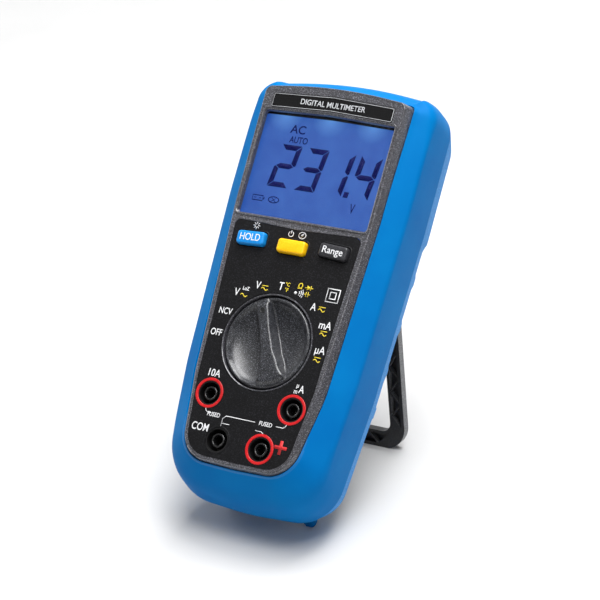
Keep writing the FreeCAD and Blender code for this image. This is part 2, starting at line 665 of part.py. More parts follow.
def electronics():
    under = d.board_level - d.board_thickness
    buzzer = piece("buzzer")
    rods(buzzer, [(-15.0, 100.0)], 8.0, under, 3.5)
    drill(buzzer, [(-15.0, 100.0)], 1.0, under - 2.0, 3)
    chip = piece("processor_chip")
    box(chip, 3.0, 17.0, 92.0, 106.0, under, 1.6)
    thermistor = piece("input_thermistor")
    lying(thermistor, 84.0, -18.5, 4.2, 18.0, 20.4)
    rods(thermistor, [(19.2, 82.0), (19.2, 86.0)], d.wire_radius, under, 3.0)
    shunt = piece("current_shunt")
    rods(shunt, [(22.0, 24.0), (22.0, 42.0)], d.shunt_radius, under, 6.0)
    standing(shunt, 22.0, under - 5.1, d.shunt_radius, 24.0 - d.shunt_radius, 42.0 + d.shunt_radius)
    resistors = piece("input_resistors")
    for y in (112.0, 118.0, 124.0):
        lying(resistors, y, -16.4, 1.4, -20.0, -8.0)
        rods(resistors, [(-18.8, y), (-9.2, y)], d.wire_radius, under, 2.0)


def truss_cells(near, far, count):
    """Triangles between zigzag ribs, from two lines given by their end points, each cut back for the ribs."""
    lines = (near, far)
    knots = []
    for i in range(count + 2):
        start, end = lines[i % 2]
        knots.append(start + (end - start) * (i / (count + 1)))
    for i in range(count):
        corners = knots[i:i + 3]
        sides = [(corners[(j + 1) % 3] - corners[(j + 2) % 3]).Length for j in range(3)]
        centre = sum((corner * side for corner, side in zip(corners, sides)), Vector()) * (1 / sum(sides))
        area = (corners[1] - corners[0]).cross(corners[2] - corners[0]).Length / 2
        shrink = 1 - float(d.rib_inset) * sum(sides) / 2 / area
        yield [centre + (corner - centre) * shrink for corner in corners]


SIDE_CELLS, FOOT_CELLS = 12, 7


def stand_trusses(body):
    """Shallow triangles between zigzag ribs, sunk into the front of both legs and the foot bar."""
    cells = sketch(body, d.stand_thickness / 2)
    rim, foot = float(d.stand_rim), float(d.stand_reach)
    inner_foot, outer_foot = float(d.stand_foot_half - d.leg_width), float(d.stand_foot_half)
    for side in (1, -1):
        near = (Vector((14.5 + rim) * side, -9.0, 0), Vector((inner_foot - 0.5 + rim) * side, -80.0, 0))
        far = (Vector((20.9 - rim) * side, -6.0, 0), Vector((outer_foot - 0.8 - rim) * side, -80.0, 0))
        for corners in truss_cells(near, far, SIDE_CELLS):
            outline(cells, [(corner.x, corner.y) for corner in corners])
    inner_edge, outer_edge = float(d.foot_bar) - foot - rim, rim + 0.4 - foot
    near = (Vector(1 - inner_foot, inner_edge, 0), Vector(inner_foot - 1, inner_edge, 0))
    far = (Vector(1 - inner_foot, outer_edge, 0), Vector(inner_foot - 1, outer_edge, 0))
    for corners in truss_cells(near, far, FOOT_CELLS):
        outline(cells, [(corner.x, corner.y) for corner in corners])
    pocket(body, cells, d.truss_depth)


def stand_sole(body):
    """Cuts the foot bar flat where it meets the bench with the stand open."""
    foot, thick = float(d.stand_reach), float(d.stand_thickness)
    leg_lean = math.radians(float(d.lean_angle) - float(d.open_angle))
    case_lean = math.radians(float(d.lean_angle))
    hinge_height = (float(d.hinge_row) * math.cos(case_lean) + float(d.hinge_level) * math.sin(case_lean)
                    + float(d.ground_drop))
    front = -(hinge_height + thick * math.sin(leg_lean)) / math.cos(leg_lean)
    back = -(hinge_height - thick * math.sin(leg_lean)) / math.cos(leg_lean)
    below = -foot - 3
    sole = sketch(body, 0, "YZ_Plane")
    outline(sole, [(front, thick), (back, -thick), (below, -thick), (below, thick)])
    pocket(body, sole, d.stand_foot_half * 2 + 4, midplane=True)


def stand():
    """The stand is drawn folded, with its hinge at the origin, and turned out about the hinge."""
    body = piece("tilt_stand")
    lean = body.Placement
    opened = Placement(Vector(0, float(d.hinge_row), float(d.hinge_level)),
                       Rotation(Vector(1, 0, 0), float(d.open_angle)))
    body.setExpression("Placement.Base.y", None)
    body.setExpression("Placement.Base.z", None)
    body.Placement = lean.multiply(opened)
    frame = sketch(body, d.stand_thickness / 2)
    outline(frame, both_sides([(0, -d.stand_reach), (d.stand_foot_half, -d.stand_reach, d.stand_corner),
                               (d.stand_top_half - 0.4, 0.0), (0, 0.0)]))
    pad(body, frame, d.stand_thickness, inward=True)
    lying(body, 0.0, 0.0, d.barrel_radius, -d.stand_top_half + 0.2, d.stand_top_half - 0.2)
    window = sketch(body, d.stand_thickness)
    window_foot = d.foot_bar - d.stand_reach
    outline(window, both_sides([(0, window_foot), (d.stand_foot_half - d.leg_width, window_foot, 4),
                                (d.stand_top_half - d.leg_width + 0.4, -d.window_top, 3),
                                (0, -d.window_top)]))
    pocket(body, window, d.stand_thickness * 2)
    stand_trusses(body)
    stand_sole(body)
    bore = sketch(body, 0, "YZ_Plane")
    circle(bore, 0.0, 0.0, d.pin_bore)
    pocket(body, bore, d.stand_top_half * 2 + 4, midplane=True)
    pins = piece("stand_pins")
    for left in (d.stand_top_half - 9, -d.stand_top_half - 3.6):
        lying(pins, d.hinge_row, d.hinge_level, d.pin_radius, left, left + 12.6)


def export():
    doc.recompute()
    for item in doc.Objects:
        if "Invalid" in item.State or "Error" in item.State:
            raise RuntimeError(f"{item.Label} of {item.getParentGeoFeatureGroup()} is {item.State}")
    os.makedirs("parts", exist_ok=True)
    for body in PIECES:
        if body.Shape.isNull() or not body.Shape.isValid():
            raise RuntimeError(f"{body.Label} has no valid shape")
        for feature in body.Group:
            cuts = feature.TypeId.rpartition("::")[2] in ("Pocket", "Groove", "SubtractiveLoft")
            if cuts and feature.Shape.Volume > feature.BaseFeature.Shape.Volume - 0.01:
                raise RuntimeError(f"{feature.Name} of {body.Label} cuts nothing")
        body.Shape.exportStep(f"parts/{body.Label}.step")
        print(body.Label, len(body.Shape.Solids), round(body.Shape.Volume, 1))


holster()
front_case()
rear_case()
panel_overlay()
display()
plate("title_plate", both_sides(TITLE), 0.0, d.bed_depth)
main_board()
selector()
keys()
jacks()
fuses()
supply()
fasteners()
electronics()
stand()
export()
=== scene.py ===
"""Looks of the handheld multimeter: moulded shells, printed face, lit display and studio light.

Pieces are drawn in millimetres in the meter's face frame (x right, y up the face, z out of the face,
origin midway between the two lower jacks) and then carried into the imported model's frame.
"""
import json
from math import copysign, cos, exp, hypot, pi, radians, sin, sqrt, tan

import bmesh
import bpy
from mathutils import Matrix, Vector
from mathutils.geometry import tessellate_polygon


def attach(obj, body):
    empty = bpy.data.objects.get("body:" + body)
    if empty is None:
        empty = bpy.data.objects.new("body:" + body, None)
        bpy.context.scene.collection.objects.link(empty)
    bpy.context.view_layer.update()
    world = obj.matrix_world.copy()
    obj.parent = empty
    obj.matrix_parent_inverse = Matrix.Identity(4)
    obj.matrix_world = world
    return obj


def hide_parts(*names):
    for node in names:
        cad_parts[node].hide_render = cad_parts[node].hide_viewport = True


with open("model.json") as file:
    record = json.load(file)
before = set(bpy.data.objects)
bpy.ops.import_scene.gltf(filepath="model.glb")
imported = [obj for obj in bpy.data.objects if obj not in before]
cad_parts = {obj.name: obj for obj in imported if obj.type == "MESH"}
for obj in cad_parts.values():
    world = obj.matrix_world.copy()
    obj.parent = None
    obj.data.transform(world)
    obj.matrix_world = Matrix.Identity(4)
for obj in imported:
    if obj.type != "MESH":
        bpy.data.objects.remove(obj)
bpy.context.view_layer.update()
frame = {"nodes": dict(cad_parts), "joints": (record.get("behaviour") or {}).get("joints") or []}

scene = bpy.context.scene
scene.view_settings.view_transform = "Standard"

# ---- the face frame, found from the selector's joint ----
KNOB_CENTRE = 41.0
selector = next(joint for joint in frame["joints"] if joint["name"] == "selector_turn")
outward = Vector(selector["axis"]).normalized()
rightward = Vector((1, 0, 0))
upward = outward.cross(rightward)
origin = Vector(selector["pos_m"]) - upward * KNOB_CENTRE / 1000
FACE = Matrix((rightward, upward, outward)).transposed().to_4x4()
FACE.translation = origin
MILLIMETRES = FACE @ Matrix.Scale(0.001, 4)

# ---- outlines of the right-hand half of the face, from the bottom up: x, y and corner radius ----
LIP = [(0, -9.9, 90), (24.3, -9.2, 13.2), (29.6, 25, 60), (32.5, 95, 90), (32.8, 144.4, 3.2), (0, 147.6, 200)]
BREAK = [(0, -20.2, 90), (33.6, -17.8, 19), (37.9, 30, 120), (40.1, 100, 200), (40.2, 148.0, 9.5),
         (0, 153.2, 200)]
BELLY = [(0, -23.6, 90), (33.4, -21.4, 19), (37.6, 30, 120), (39.9, 100, 200), (39.9, 149.9, 11.5),
         (0, 154.0, 200)]
CREASE = [(0, -22.9, 90), (33.0, -20.9, 18), (37.2, 30, 120), (39.4, 100, 200), (39.4, 149.3, 11.5),
          (0, 153.4, 200)]
BACK = [(0, -17.6, 90), (28.6, -16.8, 13), (32.4, 30, 120), (34.5, 100, 200), (34.5, 146.2, 12),
        (0, 149.0, 200)]
REAR_LIP = [(0, -9.5, 90), (25.0, -9.3, 8), (28.4, 30, 60), (29.6, 96, 60), (29.6, 142, 8), (0, 142.4, 200)]
BEZEL = [(0, -8.7, 90), (23.0, -8.2, 11), (26.9, 25, 60), (30.6, 95, 60), (31.3, 143.3, 3.0), (0, 146.6, 200)]
PANEL = [(0, -7.6), (21.8, -7.6, 8), (25.5, 22, 30), (26.4, 50, 60), (28.1, 87.6, 2.5), (0, 86.6)]
WINDOW = [(0, 90.5), (28.8, 90.5, 1.2), (28.8, 133.4, 1.2), (0, 134.3)]
TITLE = [(0, 135.9), (27.0, 134.8, 0.8), (27.0, 140.8, 0.8), (0, 142.0)]
SHELL_STEPS = (14, 40)  # points on each corner and on each side of the large outlines

KEY_COLUMN, KEY_ROW, KEY_MIDDLE, KEY_TILT = 18.4, 80.3, 79.5, 3.0
KEYS = {"hold_button": (-KEY_COLUMN, KEY_ROW, KEY_TILT), "select_button": (0.0, KEY_MIDDLE, 0.0),
        "range_button": (KEY_COLUMN, KEY_ROW, -KEY_TILT)}
JACKS = {"com": (-9.5, 0.0), "volt": (9.5, 0.0), "high_current": (-18.3, 17.3), "low_current": (18.3, 17.3)}


# ---- mesh helpers ----

WELD_MM = 0.0005
CORNER_SHARE = 0.45  # the most of a side that the rounding of one corner takes


def rounded(half, arc_steps=10, line_steps=24):
    """Points round a whole outline, given its right-hand half. Every outline has points in the same order."""
    corners = half + [(-corner[0], *corner[1:]) for corner in reversed(half) if corner[0]]
    points = [Vector(corner[:2]) for corner in corners]
    radii = [corner[2] if len(corner) > 2 else 0.0 for corner in corners]
    starts, ends, arcs = [], [], []
    for i, point in enumerate(points):
        before = (points[i - 1] - point).normalized()
        after = (points[(i + 1) % len(points)] - point).normalized()
        half_turn = before.angle(after) / 2
        reach = radii[i] / tan(half_turn)
        starts.append(point + before * reach)
        ends.append(point + after * reach)
        arc = []
        if radii[i]:
            centre = point + (before + after).normalized() * radii[i] / sin(half_turn)
            first, last = starts[i] - centre, ends[i] - centre
            for step in range(1, arc_steps):
                arc.append(centre + first.slerp(last, step / arc_steps).normalized() * radii[i])
        arcs.append(arc)
    ring = []
    for i in range(len(points)):
        ring += [starts[i]] + arcs[i] + ([ends[i]] if radii[i] else [])
        following = starts[(i + 1) % len(points)]
        ring += [ends[i].lerp(following, step / line_steps) for step in range(1, line_steps)]
    return ring


def grown(ring, by):
    """Moves each point of a closed ring outwards along the ring's own normal."""
    wider = []
    for i, point in enumerate(ring):
        along = (ring[(i + 1) % len(ring)] - ring[i - 1]).normalized()
        wider.append(point + Vector((along.y, -along.x)) * by)
    return wider


def softened(stations, radii, steps=4):
    """Rounds the corners of a run of 3-D points; the same number of points comes out for every run."""
    run = [stations[0]]
    for i in range(1, len(stations) - 1):
        corner, radius = stations[i], radii[i]
        before, after = stations[i - 1] - corner, stations[i + 1] - corner
        near = corner + before.normalized() * min(radius, before.length * CORNER_SHARE)
        far = corner + after.normalized() * min(radius, after.length * CORNER_SHARE)
        for step in range(steps + 1):
            t = step / steps
            run.append(near * (1 - t) ** 2 + corner * 2 * t * (1 - t) + far * t ** 2)
    run.append(stations[-1])
    return run


def placed(name, data):
    """A new object, put into the scene."""
    thing = bpy.data.objects.new(name, data)
    scene.collection.objects.link(thing)
    return thing


def finished(name, mesh_data, material, smooth_angle=35.0, body="meter"):
    """Carries a mesh from face millimetres into the frame, smooths it and hangs it on its body."""
    mesh_data.transform(MILLIMETRES)
    piece = placed(name, mesh_data)
    mesh_data.materials.clear()
    mesh_data.materials.append(material)
    mesh_data.shade_smooth()
    if smooth_angle:
        mesh_data.set_sharp_from_angle(angle=radians(smooth_angle))
    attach(piece, body)
    return piece


def mesh_of(name, build):
    """A mesh filled by a function that is given an empty bmesh."""
    work = bmesh.new()
    build(work)
    bmesh.ops.remove_doubles(work, verts=work.verts, dist=WELD_MM)
    bmesh.ops.recalc_face_normals(work, faces=work.faces)
    data = bpy.data.meshes.new(name)
    work.to_mesh(data)
    work.free()
    return data


def join_rows(work, low, high, closed=True):
    """Quads between two rows of vertices."""
    for i in range(len(low) if closed else len(low) - 1):
        j = (i + 1) % len(low)
        work.faces.new((low[i], low[j], high[j], high[i]))


def skin_rings(work, rings, closed=True):
    """Joins successive rings of 3-D points by quads."""
    rows = [[work.verts.new(point) for point in ring] for ring in rings]
    for low, high in zip(rows, rows[1:]):
        join_rows(work, low, high, closed)
    return rows


def fill(work, loops, level):
    """Fills a flat outline that has holes. The first loop is the outside."""
    polygons = [[Vector((point.x, point.y, level)) for point in loop] for loop in loops]
    vertices = [work.verts.new(point) for polygon in polygons for point in polygon]
    for triangle in tessellate_polygon(polygons):
        work.faces.new([vertices[i] for i in triangle])


def level_ring(ring, level):
    """The ring laid flat at one level."""
    return [Vector((point.x, point.y, level)) for point in ring]


def turned(name, profile, centre, material, steps, body="meter"):
    """A piece turned about an axis square to the face, from (radius, level) points."""
    def build(work):
        turns = [2 * pi * i / steps for i in range(steps)]
        skin_rings(work, [[Vector((centre[0] + radius * cos(a), centre[1] + radius * sin(a), level))
                           for a in turns] for radius, level in profile])
    return finished(name, mesh_of(name, build), material, body=body)


# ---- materials ----

def linear(red, green, blue):
    """The shader's linear values for a colour given as a screen shows it, 0 to 255."""
    values = []
    for value in (red, green, blue):
        value /= 255
        values.append(value / 12.92 if value <= 0.04045 else ((value + 0.055) / 1.055) ** 2.4)
    return (*values, 1.0)


def ramp_in(tree, source, low, high, low_colour, high_colour):
    """A blend from one colour to another as the source goes from low to high."""
    node = tree.nodes.new("ShaderNodeValToRGB")
    for element, place, colour in zip(node.color_ramp.elements, (low, high), (low_colour, high_colour)):
        element.position, element.color = place, colour
    tree.links.new(source, node.inputs["Fac"])
    return node.outputs["Color"]


COAT_ROUGHNESS = 0.14


class Nodes:
    """Builds one material's node tree."""

    def __init__(self, name, roughness=0.5, metallic=0.0, specular=0.5, coat=0.0):
        self.material = bpy.data.materials.new(name)
        self.material.use_nodes = True
        self.tree = self.material.node_tree
        self.shader = self.tree.nodes["Principled BSDF"]
        self.fix(self.shader, ("Roughness", roughness), ("Metallic", metallic), ("Coat Weight", coat),
                 ("Specular IOR Level", specular), ("Coat Roughness", COAT_ROUGHNESS))
        self.place = self.add("ShaderNodeTexCoord").outputs["Object"]

    def add(self, kind, sockets=(), **settings):
        node = self.tree.nodes.new(kind)
        for key, value in settings.items():
            setattr(node, key, value)
        self.fix(node, *sockets)
        return node

    def fix(self, node, *sockets):
        """Sets sockets of a node to constants."""
        for socket, value in sockets:
            node.inputs[socket].default_value = value

    def link(self, source, target):
        self.tree.links.new(source, target)

    def noise(self, grain_mm, detail=2.0):
        """Noise whose blobs are about one grain across."""
        node = self.add("ShaderNodeTexNoise", (("Scale", 1000.0 / grain_mm), ("Detail", detail)))
        self.link(self.place, node.inputs["Vector"])
        return node.outputs["Fac"]

    def ramp(self, source, *stops):
        return ramp_in(self.tree, source, *stops)

    def mix(self, factor, first, second, blend="MIX"):
        node = self.add("ShaderNodeMix", data_type="RGBA", blend_type=blend)
        for socket, value in ((node.inputs[0], factor), (node.inputs[6], first), (node.inputs[7], second)):
            if isinstance(value, (float, tuple)):
                socket.default_value = value
            else:
                self.link(value, socket)
        return node.outputs[2]

    def colour(self, source):
        self.link(source, self.shader.inputs["Base Color"])

    def roughness(self, source, low, high):
        node = self.add("ShaderNodeMapRange", (("To Min", low), ("To Max", high)))
        self.link(source, node.inputs["Value"])
        self.link(node.outputs["Result"], self.shader.inputs["Roughness"])

    def bump(self, source, depth_mm):
        node = self.add("ShaderNodeBump", (("Strength", 1.0), ("Distance", depth_mm / 1000)))
        self.link(source, node.inputs["Height"])
        self.link(node.outputs["Normal"], self.shader.inputs["Normal"])


def moulded(name, colour, fleck, grain, roughness, bump, share=0.3, specular=0.4, coat=0.0):
    """Moulded plastic with fine flecks of a second colour, a grained surface and a slight unevenness."""
    nodes = Nodes(name, specular=specular, coat=coat)
    fine, broad = nodes.noise(grain), nodes.noise(18.0, 3.0)
    edge = 0.5 + (1 - share) * 0.14
    flecked = nodes.ramp(fine, edge - 0.06, edge + 0.08, linear(*colour), linear(*fleck))
    shade = nodes.ramp(broad, 0.3, 0.7, (0.86, 0.86, 0.86, 1), (1.08, 1.08, 1.08, 1))
    nodes.colour(nodes.mix(1.0, flecked, shade, "MULTIPLY"))
    nodes.roughness(nodes.noise(grain * 2.5), *roughness)
    nodes.bump(fine, bump)
    return nodes.material


def metal(name, colour, roughness=0.28, grain=0.25):
    """Plated or plain metal with cloudy patches and a fine grain."""
    nodes = Nodes(name, metallic=1.0)
    broad = nodes.noise(3.0, 3.0)
    darker = tuple(channel * 0.72 for channel in colour[:3]) + (1.0,)
    nodes.colour(nodes.ramp(broad, 0.35, 0.7, colour, darker))
    nodes.roughness(nodes.noise(grain), roughness * 0.8, roughness * 1.4)
    nodes.bump(nodes.noise(grain), 0.004)
    return nodes.material


def rubber_blue(name="rubber", specular=0.04):
    """Holster rubber: a smooth satin skin, with a faint grain and slight unevenness of colour."""
    nodes = Nodes("holster_" + name, specular=specular)
    broad = nodes.noise(30.0, 3.0)
    nodes.colour(nodes.ramp(broad, 0.25, 0.75, linear(0, 99, 168), linear(2, 115, 181)))
    nodes.roughness(nodes.noise(1.5, 3.0), 0.42, 0.52)
    nodes.bump(nodes.noise(0.35), 0.018)
    return nodes.material


def rubber_blue_grained_with_sheen():
    """The sparkle-eroded grip band behind the crease of the holster; its pale flecks are partly the grained
    finish and partly painted sheen, the highlight the band shows along its outline.
    """
    nodes = Nodes("holster_grip_painted_sheen", specular=0.15)
    fine = nodes.noise(0.55, 3.0)
    # painted sheen: the paler of the two colours stands in partly for the band's grain, partly for the
    # highlight on it
    nodes.colour(nodes.ramp(fine, 0.3, 0.7, linear(0, 104, 186), linear(84, 166, 228)))
    nodes.roughness(nodes.noise(0.8), 0.55, 0.75)
    nodes.bump(fine, 0.12)
    return nodes.material


def printed(name, colour):
    """Screen-printing ink: nearly even, with the faint mottle of ink on a grained panel."""
    nodes = Nodes(name)
    dim = tuple(channel * 0.86 for channel in colour[:3]) + (1.0,)
    nodes.colour(nodes.ramp(nodes.noise(0.25), 0.35, 0.6, dim, colour))
    nodes.roughness(nodes.noise(0.5), 0.45, 0.6)
    nodes.bump(nodes.noise(0.25), 0.01)
    return nodes.material


# ---- the blue holster ----

TOP_STRIP_HALF, TOP_STRIP_BLEND, TOP_STRIP_DROP = 31.0, 2.6, 3.4
LIP_LEVEL, LIP_LEVEL_TOP, LIP_LEVEL_FOOT = -3.1, -4.8, -1.7
LIP_BAND, LIP_THICKNESS, LIP_WALL, LIP_SHARE = 0.6, 0.5, 0.35, 0.16
INNER_LEVEL, EDGE_DROP, BREAK_LEVEL, BELLY_LEVEL, CREASE_LEVEL = -9.0, 1.1, -9.4, -20.0, -29.0
BACK_LEVEL, REAR_INNER_LEVEL, REAR_WALL = -42.4, -40.6, 0.6
BEND_ROUND, BEND_ROUND_HEAD, BEND_ROUND_FOOT = 1.6, 2.6, 3.0
HEAD_LOW, HEAD_RISE, HEAD_BLEND = 99.5, 2.4, 3.0
RIB_ROWS = (28.0, 45.0, 63.5, 82.5, 98.0)
RIB_HEIGHT, RIB_HALF, RIB_LEAST_X = 0.45, 2.2, 24
FOOT_PROFILE = [(-21.2, -42.1), (-19.2, -44.4), (-12.5, -44.4), (-11.0, -41.0), (-18.0, -36.0)]
FOOT_MIDDLE, FOOT_BEVEL = (-17.0, -39.5), 0.4
FOOT_SECTIONS = ((15.4, 0.8), (15.9, 1.0), (19.3, 1.0), (19.8, 0.8))


def eased(low, high, value):
    """Eases from 0 at low to 1 at high. The two may be given in either order."""
    t = min(max((value - low) / (high - low), 0.0), 1.0)
    return t * t * (3 - 2 * t)


def lip_level(y):
    """The lip lies a little deeper towards the head of the meter and rises round its foot."""
    head = (LIP_LEVEL_TOP - LIP_LEVEL) * eased(100.0, 146.0, y)
    return LIP_LEVEL + head + (LIP_LEVEL_FOOT - LIP_LEVEL) * eased(24.0, -2.0, y)


def strip_drop(point):
    """How far the strip along the top edge is set back, between the two corner lobes."""
    strip = 1 - eased(TOP_STRIP_HALF, TOP_STRIP_HALF + TOP_STRIP_BLEND, abs(point.x))
    return TOP_STRIP_DROP * strip * eased(140.0, 144.0, point.y)


def holster_run(i, rings):
    """The section through the holster wall at one place, from inside the lip to inside the back."""
    lip, inner, edge, bend, belly, crease, back, rear, rear_in = (ring[i] for ring in rings)
    level = lip_level(lip.y) - strip_drop(lip) * 0.5
    behind = BACK_LEVEL - HEAD_RISE * eased(HEAD_LOW - HEAD_BLEND, HEAD_LOW, back.y)
    bend_round = (BEND_ROUND + BEND_ROUND_HEAD * eased(128.0, 146.0, bend.y)
                  + BEND_ROUND_FOOT * eased(10.0, -12.0, bend.y))
    places = [(inner, INNER_LEVEL, 0), (inner, level - LIP_THICKNESS, 0.2), (lip, level, 0.5),
              (edge, level - EDGE_DROP, 1.2), (bend, BREAK_LEVEL - strip_drop(bend), bend_round),
              (belly, BELLY_LEVEL, 3.0), (crease, CREASE_LEVEL, 0.7), (back, behind, 3.0),
              (rear, behind, 0.8), (rear_in, REAR_INNER_LEVEL, 0)]
    return softened([Vector((*spot, z)) for spot, z, _ in places], [radius for *_, radius in places], steps=5)


def ribbed(point):
    """Shallow steps moulded across the grip band behind the crease."""
    band = eased(CREASE_LEVEL - 0.5, CREASE_LEVEL - 1.8, point.z) * eased(-41.5, -39.5, point.z)
    if band <= 0 or abs(point.x) < RIB_LEAST_X:
        return point
    rise = max(eased(RIB_HALF + 0.5, RIB_HALF - 0.2, abs(point.y - row)) for row in RIB_ROWS)
    return point + Vector((copysign(RIB_HEIGHT * rise * band, point.x), 0, 0))


def holster_skin():
    """The whole outer surface: smooth rubber, the grained grip band with its painted sheen, and the glossier
    lip.
    """
    lip, *far = [rounded(half, *SHELL_STEPS) for half in (LIP, BREAK, BELLY, CREASE, BACK, REAR_LIP)]
    edge = [a.lerp(b, LIP_SHARE) for a, b in zip(lip, far[0])]
    rings = [lip, grown(lip, -LIP_WALL), edge, *far, grown(far[-1], -REAR_WALL)]

    def build(work):
        runs = [holster_run(i, rings) for i in range(len(lip))]
        skin_rings(work, [[ribbed(point) for point in ring] for ring in zip(*runs)])
    data = mesh_of("holster_skin", build)
    levels = [sum(data.vertices[v].co.z for v in face.vertices) / len(face.vertices)
              for face in data.polygons]
    skin = finished("holster_skin", data, rubber_blue(), 50.0)
    data.materials.append(rubber_blue_grained_with_sheen())
    data.materials.append(rubber_blue("lip", 0.4))
    for face, level in zip(data.polygons, levels):
        on_lip = level > lip_level(face.center.y) - LIP_BAND
        face.material_index = 1 if level < CREASE_LEVEL else 2 if on_lip else 0
    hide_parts("holster")


def holster_feet():
    """Two small feet under the rear bottom edge, on which the tilted meter stands."""
    middle = Vector(FOOT_MIDDLE)
    for name, side in (("left", -1), ("right", 1)):
        def build(work):
            sections = []
            for x, scale in FOOT_SECTIONS:
                section = [middle + (Vector(corner) - middle) * scale for corner in FOOT_PROFILE]
                sections.append([Vector((x * side, y, z)) for y, z in section])
            rows = skin_rings(work, sections)
            work.faces.new(rows[0])
            work.faces.new(rows[-1])
            bmesh.ops.bevel(work, geom=work.edges[:], offset=FOOT_BEVEL, segments=3, affect="EDGES")
        foot = finished("holster_foot_" + name, mesh_of("foot", build), SHARED["rubber"])
        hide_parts("holster")


# ---- the grey bezel ----

BEZEL_ROOT_LEVEL, BEZEL_BEAD, BEZEL_GAP, BEZEL_BELOW_LIP, BEZEL_SHOULDER = -9.0, 0.15, 0.4, 0.3, 1.0
FACE_MIDDLE = Vector((0, 70))
BEAD_WIDTH = 0.25
KNOB_WELL = [(21.5, -0.55), (19.62, -0.55), (19.55, -0.2), (19.4, 0.02), (19.2, 0.05), (18.95, -0.1),
             (18.85, -0.5), (18.85, -6.2), (18.6, -6.5), (2.0, -6.5)]


def rim_rings(ring, drop, radius, bead):
    """Rings from the flat face over a rounded, slightly raised edge and down into an opening."""
    rings = [level_ring(grown(ring, radius + BEAD_WIDTH), 0.0)] if bead else []
    for step in range(7):
        angle = pi / 2 * step / 6
        edge = grown(ring, radius * (1 - sin(angle)))
        rings.append(level_ring(edge, bead - radius * (1 - cos(angle))))
    rings.append(level_ring(ring, -drop))
    return rings


def bezel_shell():
    """The flat grey frame round the display and the panel, with its outer shoulder and the knob's well."""
    outer, shoulder = rounded(LIP, *SHELL_STEPS), rounded(BEZEL, *SHELL_STEPS)
    window, panel, title = rounded(WINDOW), grown(rounded(PANEL, 14, 24), 0.1), grown(rounded(TITLE), 0.08)
    openings = [(window, 2.3, 1.0, 0.4), (panel, 0.55, 0.25, 0.12), (title, 0.55, 0.2, 0.0)]

    def build(work):
        runs = []
        for root, high, inside in zip(grown(outer, -BEZEL_GAP), shoulder, grown(shoulder, -BEZEL_SHOULDER)):
            edge = lip_level(root.y) - strip_drop(root) * 0.5 - BEZEL_BELOW_LIP
            stations = [Vector((*root, BEZEL_ROOT_LEVEL)), Vector((*root, edge)), Vector((*high, BEZEL_BEAD)),
                        Vector((*inside, 0.0)), Vector((*inside.lerp(FACE_MIDDLE, 0.005), 0.0))]
            runs.append(softened(stations, [0, 0.5, 0.9, 0.4, 0], steps=6))
        skin_rings(work, list(zip(*runs)))
        loops = [[Vector(run[-1][:2]) for run in runs]]
        for opening in openings:
            rings = rim_rings(*opening)
            skin_rings(work, rings)
            loops.append([Vector(point[:2]) for point in rings[0]])
        fill(work, loops, 0.0)
    shell = finished("bezel_shell", mesh_of("bezel_shell", build), SHARED["bezel"], 40.0)
    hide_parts("front_case")
    well = turned("knob_well", KNOB_WELL, (0, KNOB_CENTRE), SHARED["bezel"], 128)
    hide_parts("front_case")


# ---- the selector knob ----

KNOB_RADIUS, KNOB_RIM, KNOB_FOOT, KNOB_TURN = 18.2, -0.4, -6.2, 22.5
SCOOP_RADIUS, SCOOP_DEPTH, EDGE_ROUND = 16.9, 5.0, 0.8
GRIP_RISE, WALL_RUN, CREASE_BEAD, RIM_BEAD = 1.4, 1.0, 0.24, 0.16
CHAMFER_RUN, CHAMFER_DROP = 0.64, 0.34
CREASE_WIDTH, RIM_BEAD_WIDTH, RIM_BEAD_INSET = 0.22, 0.3, 0.75
KNOB_ROWS, KNOB_END = 90, 0.998
SKIRT_LEVELS = (-1.5, -3.0, KNOB_FOOT)
KNOB_DOT = [(1.15, 0.9), (1.15, 1.05), (1.0, 1.14), (0.85, 1.08), (0.78, 1.02), (0.0, 1.02)]
KNOB_DOT_ALONG = 13.0
GRIP_WIDTHS = ((-18.5, 7.0), (-17.0, 6.2), (-10.0, 4.0), (-3.0, 2.6), (6.0, 2.2), (13.0, 2.4), (18.5, 2.7))


def grip_half_width(along):
    """Half the width of the grip bar, which narrows from its broad tail towards its head."""
    for (low, first), (high, second) in zip(GRIP_WIDTHS, GRIP_WIDTHS[1:]):
        if along <= high:
            return first + (second - first) * eased(low, high, along)
    return GRIP_WIDTHS[-1][1]


def knob_level(across, along):
    """Height of the knob's top: a low rim, two scoops and a bar that falls to the rim at its ends."""
    radius = hypot(across, along)
    beside = abs(across) - grip_half_width(along)
    inside = max(1 - (radius / SCOOP_RADIUS) ** 2, 0.0)
    bar = GRIP_RISE * eased(KNOB_RADIUS - 0.6, KNOB_RADIUS - 3.2, radius)
    bar -= CHAMFER_DROP * min(max(1 + beside / CHAMFER_RUN, 0.0), 1.0)
    scooped = -SCOOP_DEPTH * inside ** 0.6
    wall = eased(-0.1, WALL_RUN, beside) if beside < WALL_RUN else 1.0
    level = KNOB_RIM + bar * (1 - wall) + scooped * wall
    level += CREASE_BEAD * exp(-((beside - WALL_RUN) / CREASE_WIDTH) ** 2) * min(inside * 8, 1.0)
    level += RIM_BEAD * exp(-((radius - KNOB_RADIUS + RIM_BEAD_INSET) / RIM_BEAD_WIDTH) ** 2)
    near_edge = radius - (KNOB_RADIUS - EDGE_ROUND)
    if near_edge > 0:
        level -= EDGE_ROUND - sqrt(max(EDGE_ROUND ** 2 - near_edge ** 2, 0.0))
    return level


def knob_columns(along):
    """Places across the knob on one row, close together where the grip's sides and the rim turn."""
    reach = sqrt(KNOB_RADIUS ** 2 - along ** 2)
    grip = min(grip_half_width(along), reach * 0.55)
    near, far = min(grip + 1.6, reach * 0.8), reach - min(1.3, reach * 0.12)
    half = [grip * t for t in (0.0, 0.35, 0.6)]
    beside = [grip + (near - grip) * t / 10 for t in range(-4, 11)]
    half += [across for across in beside if across > grip * 0.62]
    half += [near + (far - near) * t / 12 for t in range(1, 12)]
    half += [far + (reach - far) * sin(pi / 2 * t / 7) for t in range(8)]
    return [-across for across in reversed(half[1:])] + half


